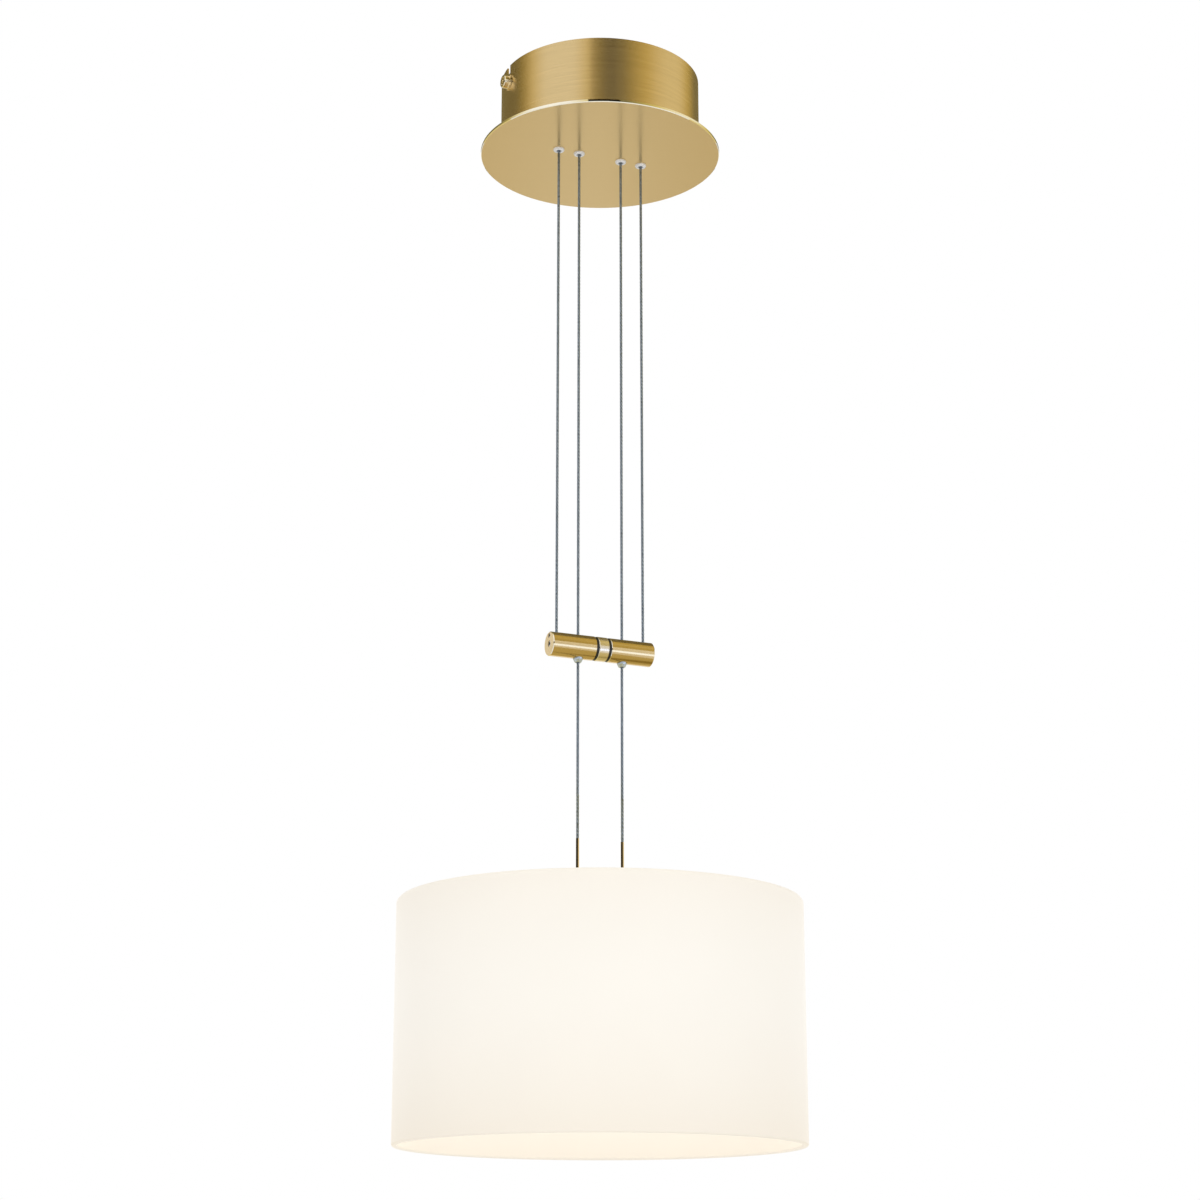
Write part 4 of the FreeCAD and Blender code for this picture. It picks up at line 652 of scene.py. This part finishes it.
def make_opal():
    """Satin opal glass that glows most round the capsule."""
    look = Look("opal_glass")
    look.set(IOR=1.45, Specular_IOR_Level=0.2)
    shift = look.add("VectorMath", operation="SUBTRACT")
    shift.inputs[1].default_value = (0, 0, GLOW_Z)
    squash = look.add("VectorMath", operation="MULTIPLY")
    squash.inputs[1].default_value = (1, 1, GLOW_SQUASH)
    length = look.add("VectorMath", operation="LENGTH")
    look.links.new(look.place(), shift.inputs[0])
    look.links.new(shift.outputs["Vector"], squash.inputs[0])
    look.links.new(squash.outputs["Vector"], length.inputs[0])
    glow = look.spread(length.outputs["Value"], 0.0, 1.0, GLOW_NEAR, GLOW_FAR)
    cloud = look.noise(25)
    look.set(Emission_Strength=GLOW_STRENGTH)
    look.feed(
        Emission_Color=look.ramp(glow, (0.0, GLOW_MIDDLE), (1.0, GLOW_EDGE)),
        Base_Color=look.mottle(cloud, OPAL, 0.985, 1.015),
        Roughness=look.spread(cloud, 0.45, 0.52),
    )
    return look.material


def make_clear_glass():
    """The capsule's glass, with a little of the filament's glow."""
    look = Look("clear_glass")
    look.set(IOR=1.46, Transmission_Weight=1.0)
    look.set(Emission_Color=CLEAR_GLASS_GLOW, Emission_Strength=0.25)
    cloud = look.noise(90)
    look.feed(
        Base_Color=look.between(cloud, CLEAR_GLASS_DARK, CLEAR_GLASS),
        Roughness=look.spread(cloud, 0.01, 0.03),
    )
    return look.material


def make_filament():
    """Glowing tungsten wire."""
    look = Look("filament")
    cloud = look.noise(900)
    look.set(Emission_Strength=6.0, Metallic=1.0, Roughness=0.4)
    look.feed(
        Base_Color=look.between(cloud, TUNGSTEN_DARK, TUNGSTEN),
        Emission_Color=look.between(cloud, TUNGSTEN_DIM_GLOW, TUNGSTEN_GLOW),
    )
    return look.material


def make_looks():
    """All the part's materials by name."""
    made = {
        "canopy_brass": make_drum_brass(),
        "plate_brass": make_plate_brass(),
        "bar_brass": make_bar_brass(),
        "ring_brass": make_ring_brass(),
        "rope_steel": make_rope_steel(),
        "opal_glass": make_opal(),
        "clear_glass": make_clear_glass(),
        "filament": make_filament(),
    }
    for name, values in METALS.items():
        made[name] = make_metal(name, *values)
    for name, values in PLAINS.items():
        made[name] = make_plain(name, *values)
    return made


def dress_nodes():
    """Gives every CAD node the look of its slot, or its own."""
    for part in frame["record"]["subparts"]:
        look = looks[NODE_LOOKS.get(part["node"], part["material_slot"])]
        for place in frame["nodes"][part["node"]].material_slots:
            place.material = look


# ---------------------------------------------------------------- pieces

def add_canopy_plate():
    """The plate's brushed disc and its polished rim, whose near-white colour is a painted highlight."""
    seam = PLATE_RADIUS - PLATE_BEVEL
    loops = [(0, seam, PLATE_SEGMENTS)]
    for sign in (-1, 1):
        for reach in (INNER_ROPE, OUTER_ROPE):
            loops.append((sign * reach, ROPE_HOLE_RADIUS, ROPE_HOLE_SEGMENTS))
    disc = holed_disc("plate_disc", loops, PLATE_BOTTOM, PLATE_TOP)
    brushing = disc.uv_layers.new(name="brushing")
    grain = Vector((math.cos(PLATE_GRAIN), math.sin(PLATE_GRAIN), 0))
    over_grain = Vector((-grain.y, grain.x, 0))
    for loop in disc.loops:
        spot = disc.vertices[loop.vertex_index].co
        brushing.data[loop.index].uv = (spot.dot(over_grain), -spot.dot(grain))
    piece(disc, "canopy_brass", "canopy", "canopy_plate", look="plate_brass")
    rim = turned_ring("plate_rim", [
        (seam, PLATE_TOP),
        (seam, PLATE_BOTTOM),
        (PLATE_RADIUS, PLATE_BOTTOM + PLATE_BEVEL),
        (PLATE_RADIUS, PLATE_TOP),
    ], PLATE_SEGMENTS)
    piece(rim, "canopy_brass", "canopy", "canopy_plate", look="rim_brass")


def add_falls(side, sign):
    """The two upright stretches of a rope, which lengthen and shorten with the travel."""
    for label, x, low, body in (
        ("bar_fall", sign * OUTER_ROPE, ANCHOR_Z, "bar"),
        ("lamp_fall", sign * INNER_ROPE, ROD_TOP, "lamp"),
    ):
        def line(reach, x=x):
            return Vector((x, 0, PULLEY_Z - reach)), -UP, SIDE_WAY

        mesh = lay_strands(f"{side}_{label}_strands", line, PULLEY_Z - low, FALL_STEPS_PER_TURN)
        rope = piece(mesh, "rope_steel", None, f"{side}_rope_{label}")
        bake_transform(rope, "canopy", body, (x, 0, PULLEY_Z), (x, 0, low))
        # A share that grows evenly from end to end stretches the lay evenly.
        weights = mesh.attributes["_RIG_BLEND"].data
        for vertex in mesh.vertices:
            share = (PULLEY_Z - vertex.co.z) / (PULLEY_Z - low)
            weights[vertex.index].value = min(1.0, max(0.0, share))


def add_pulley_turn(side, sign):
    """The half turn of a rope over its pulley."""
    def line(reach):
        angle = math.pi - reach / PULLEY_PITCH
        outward = Vector((math.cos(angle), 0, math.sin(angle)))
        along = Vector((math.sin(angle), 0, -math.cos(angle)))
        return Vector((sign * PULLEY_X, 0, PULLEY_Z)) + outward * PULLEY_PITCH, along, outward

    length = math.pi * PULLEY_PITCH
    mesh = lay_strands(f"{side}_pulley_turn_strands", line, length, PULLEY_STEPS_PER_TURN)
    piece(mesh, "rope_steel", "canopy", f"{side}_rope_pulley_turn")


def add_filament():
    """The coiled filament inside the capsule."""
    built = bmesh.new()
    steps = COIL_TURNS * COIL_STEPS_PER_TURN
    rise = COIL_LENGTH / (math.tau * COIL_RADIUS * COIL_TURNS)
    path = []
    for step in range(steps + 1):
        angle = math.tau * COIL_TURNS * step / steps
        outward = Vector((math.cos(angle), math.sin(angle), 0))
        along = Vector((-math.sin(angle), math.cos(angle), -rise)).normalized()
        middle = Vector((0, 0, COIL_TOP - COIL_LENGTH * step / steps))
        path.append((middle + outward * COIL_RADIUS, along, outward))
    sweep(built, path, COIL_WIRE, sides=6)
    mesh = to_mesh("lamp_filament", built, WIRE_SMOOTH_ANGLE)
    piece(mesh, "clear_glass", "lamp", look="filament")


def add_support_wires():
    """The two bent wires that hold the filament's ends."""
    built = bmesh.new()
    for sign, end in ((-1, COIL_TOP - COIL_LENGTH), (1, COIL_TOP)):
        foot = Vector((sign * SUPPORT_REACH, 0, SUPPORT_FOOT))
        bend = Vector((sign * SUPPORT_REACH, 0, end))
        tip = Vector((sign * COIL_RADIUS, 0, end))
        for start, stop, outward in ((foot, bend, SIDE_WAY), (bend, tip, UP)):
            along = (stop - start).normalized()
            sweep(built, [(start, along, outward), (stop, along, outward)], SUPPORT_WIRE, sides=8)
    piece(to_mesh("lamp_support_wires", built), "clear_glass", "lamp", look="zinc_steel")


# ---------------------------------------------------------------- studio

def add_camera():
    """The photograph's view, from below and a little to the left."""
    data = bpy.data.cameras.new("camera")
    data.lens = CAMERA_LENS
    data.sensor_width = CAMERA_SENSOR
    data.clip_start = CAMERA_CLIP_START
    camera = bpy.data.objects.new("camera", data)
    camera.location = TO_CAMERA * CAMERA_DISTANCE + Vector((0, 0, CAMERA_Z))
    camera.rotation_euler = (CAMERA_TILT, 0, CAMERA_AZIMUTH)
    scene.collection.objects.link(camera)
    scene.camera = camera


def add_area(name, place, power):
    """A large square lamp that reflections don't see."""
    data = bpy.data.lights.new(name, "AREA")
    data.shape = "SQUARE"
    data.size = AREA_SIZE
    data.energy = power
    lamp = bpy.data.objects.new(name, data)
    lamp.location = place
    direction = AREA_AIM - Vector(place)
    lamp.rotation_euler = direction.to_track_quat("-Z", "Y").to_euler()
    lamp.visible_glossy = False
    scene.collection.objects.link(lamp)


def add_lamp_light():
    """The warm light of the capsule on the inside of the shade."""
    data = bpy.data.lights.new("lamp_light", "POINT")
    data.energy = LAMP_LIGHT_POWER
    data.color = LAMP_LIGHT_COLOUR
    data.shadow_soft_size = LAMP_LIGHT_RADIUS
    lamp = bpy.data.objects.new("lamp_light", data)
    lamp.location = (0, 0, LAMP_LIGHT_Z)
    lamp.visible_glossy = False
    scene.collection.objects.link(lamp)
    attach(lamp, "lamp")


def make_card_glow():
    """Emission of the card's own painted colour."""
    material = bpy.data.materials.new("card_glow")
    material.use_nodes = True
    nodes = material.node_tree.nodes
    links = material.node_tree.links
    nodes.clear()
    paint = nodes.new("ShaderNodeAttribute")
    paint.attribute_name = "glow"
    emission = nodes.new("ShaderNodeEmission")
    output = nodes.new("ShaderNodeOutputMaterial")
    links.new(paint.outputs["Color"], emission.inputs["Color"])
    links.new(emission.outputs["Emission"], output.inputs["Surface"])
    return material


def add_card(material, name, stops, foot, head):
    """A card round the axis that only reflections see, shaded from stop to stop."""
    built = bmesh.new()
    columns = []
    colours = []
    for (start, first), (end, last) in zip(stops, stops[1:]):
        count = max(1, round((end - start) / CARD_STEP))
        for index in range(1 if columns else 0, count + 1):
            share = index / count
            angle = math.radians(start + (end - start) * share)
            out = TO_CAMERA * math.cos(angle) + TO_RIGHT * math.sin(angle)
            column = [out * reach + Vector((0, 0, height)) for reach, height in (foot, head)]
            columns.append([built.verts.new(spot) for spot in column])
            colours.append(Vector(first).lerp(Vector(last), share))
    for left, right in zip(columns, columns[1:]):
        built.faces.new((left[0], right[0], right[1], left[1]))
    mesh = bpy.data.meshes.new(name)
    built.to_mesh(mesh)
    built.free()
    paint = mesh.attributes.new("glow", "FLOAT_COLOR", "POINT")
    for index, colour in enumerate(colours):
        for corner in (0, 1):
            paint.data[2 * index + corner].color = (*colour, 1)
    mesh.materials.append(material)
    card = bpy.data.objects.new(name, mesh)
    scene.collection.objects.link(card)
    card.visible_camera = False
    card.visible_diffuse = False
    card.visible_transmission = False
    card.visible_shadow = False


def seen_directly(nodes, links):
    """1 for what the camera, a reflection or a glass sees, 0 for the light that falls on things."""
    path = nodes.new("ShaderNodeLightPath")
    either = nodes.new("ShaderNodeMath")
    either.operation = "MAXIMUM"
    seen = nodes.new("ShaderNodeMath")
    seen.operation = "MAXIMUM"
    links.new(path.outputs["Is Camera Ray"], either.inputs[0])
    links.new(path.outputs["Is Glossy Ray"], either.inputs[1])
    links.new(either.outputs["Value"], seen.inputs[0])
    links.new(path.outputs["Is Transmission Ray"], seen.inputs[1])
    return seen.outputs["Value"]


def add_background(nodes, strength):
    """White world light of a strength."""
    background = nodes.new("ShaderNodeBackground")
    background.inputs["Color"].default_value = (1, 1, 1, 1)
    background.inputs["Strength"].default_value = strength
    return background.outputs["Background"]


def add_world():
    """A white backdrop that sheds a softer light than it shows."""
    world = bpy.data.worlds.new("studio")
    world.use_nodes = True
    scene.world = world
    nodes = world.node_tree.nodes
    links = world.node_tree.links
    nodes.clear()
    mix = nodes.new("ShaderNodeMixShader")
    output = nodes.new("ShaderNodeOutputWorld")
    links.new(seen_directly(nodes, links), mix.inputs["Fac"])
    links.new(add_background(nodes, WORLD_SOFT), mix.inputs[1])
    links.new(add_background(nodes, WORLD_WHITE), mix.inputs[2])
    links.new(mix.outputs["Shader"], output.inputs["Surface"])


def add_floor():
    """A large, matt, nearly white floor that keeps the shadow."""
    built = bmesh.new()
    bmesh.ops.create_grid(built, x_segments=1, y_segments=1, size=FLOOR_REACH)
    mesh = bpy.data.meshes.new("floor")
    built.to_mesh(mesh)
    built.free()
    look = Look("floor")
    look.set(Roughness=0.9, Specular_IOR_Level=0.0, Emission_Color=(1, 1, 1, 1))
    look.feed(
        Base_Color=look.between(look.noise(6), FLOOR_DARK, FLOOR_LIGHT),
        Emission_Strength=look.spread(seen_directly(look.nodes, look.links), 0.0, FLOOR_LIFT),
    )
    mesh.materials.append(look.material)
    floor = bpy.data.objects.new("floor", mesh)
    floor.location = (0, 0, FLOOR_Z)
    scene.collection.objects.link(floor)


# ---------------------------------------------------------------- the scene

looks = make_looks()
dress_nodes()
add_canopy_plate()
for side_name, side_sign in (("right", 1), ("left", -1)):
    add_falls(side_name, side_sign)
    add_pulley_turn(side_name, side_sign)
add_filament()
add_support_wires()

add_camera()
add_world()
add_floor()
add_lamp_light()
for lamp_name, lamp_place, lamp_power in AREA_LAMPS:
    add_area(lamp_name, lamp_place, lamp_power)
card_glow = make_card_glow()
for card_values in CARDS:
    add_card(card_glow, *card_values)
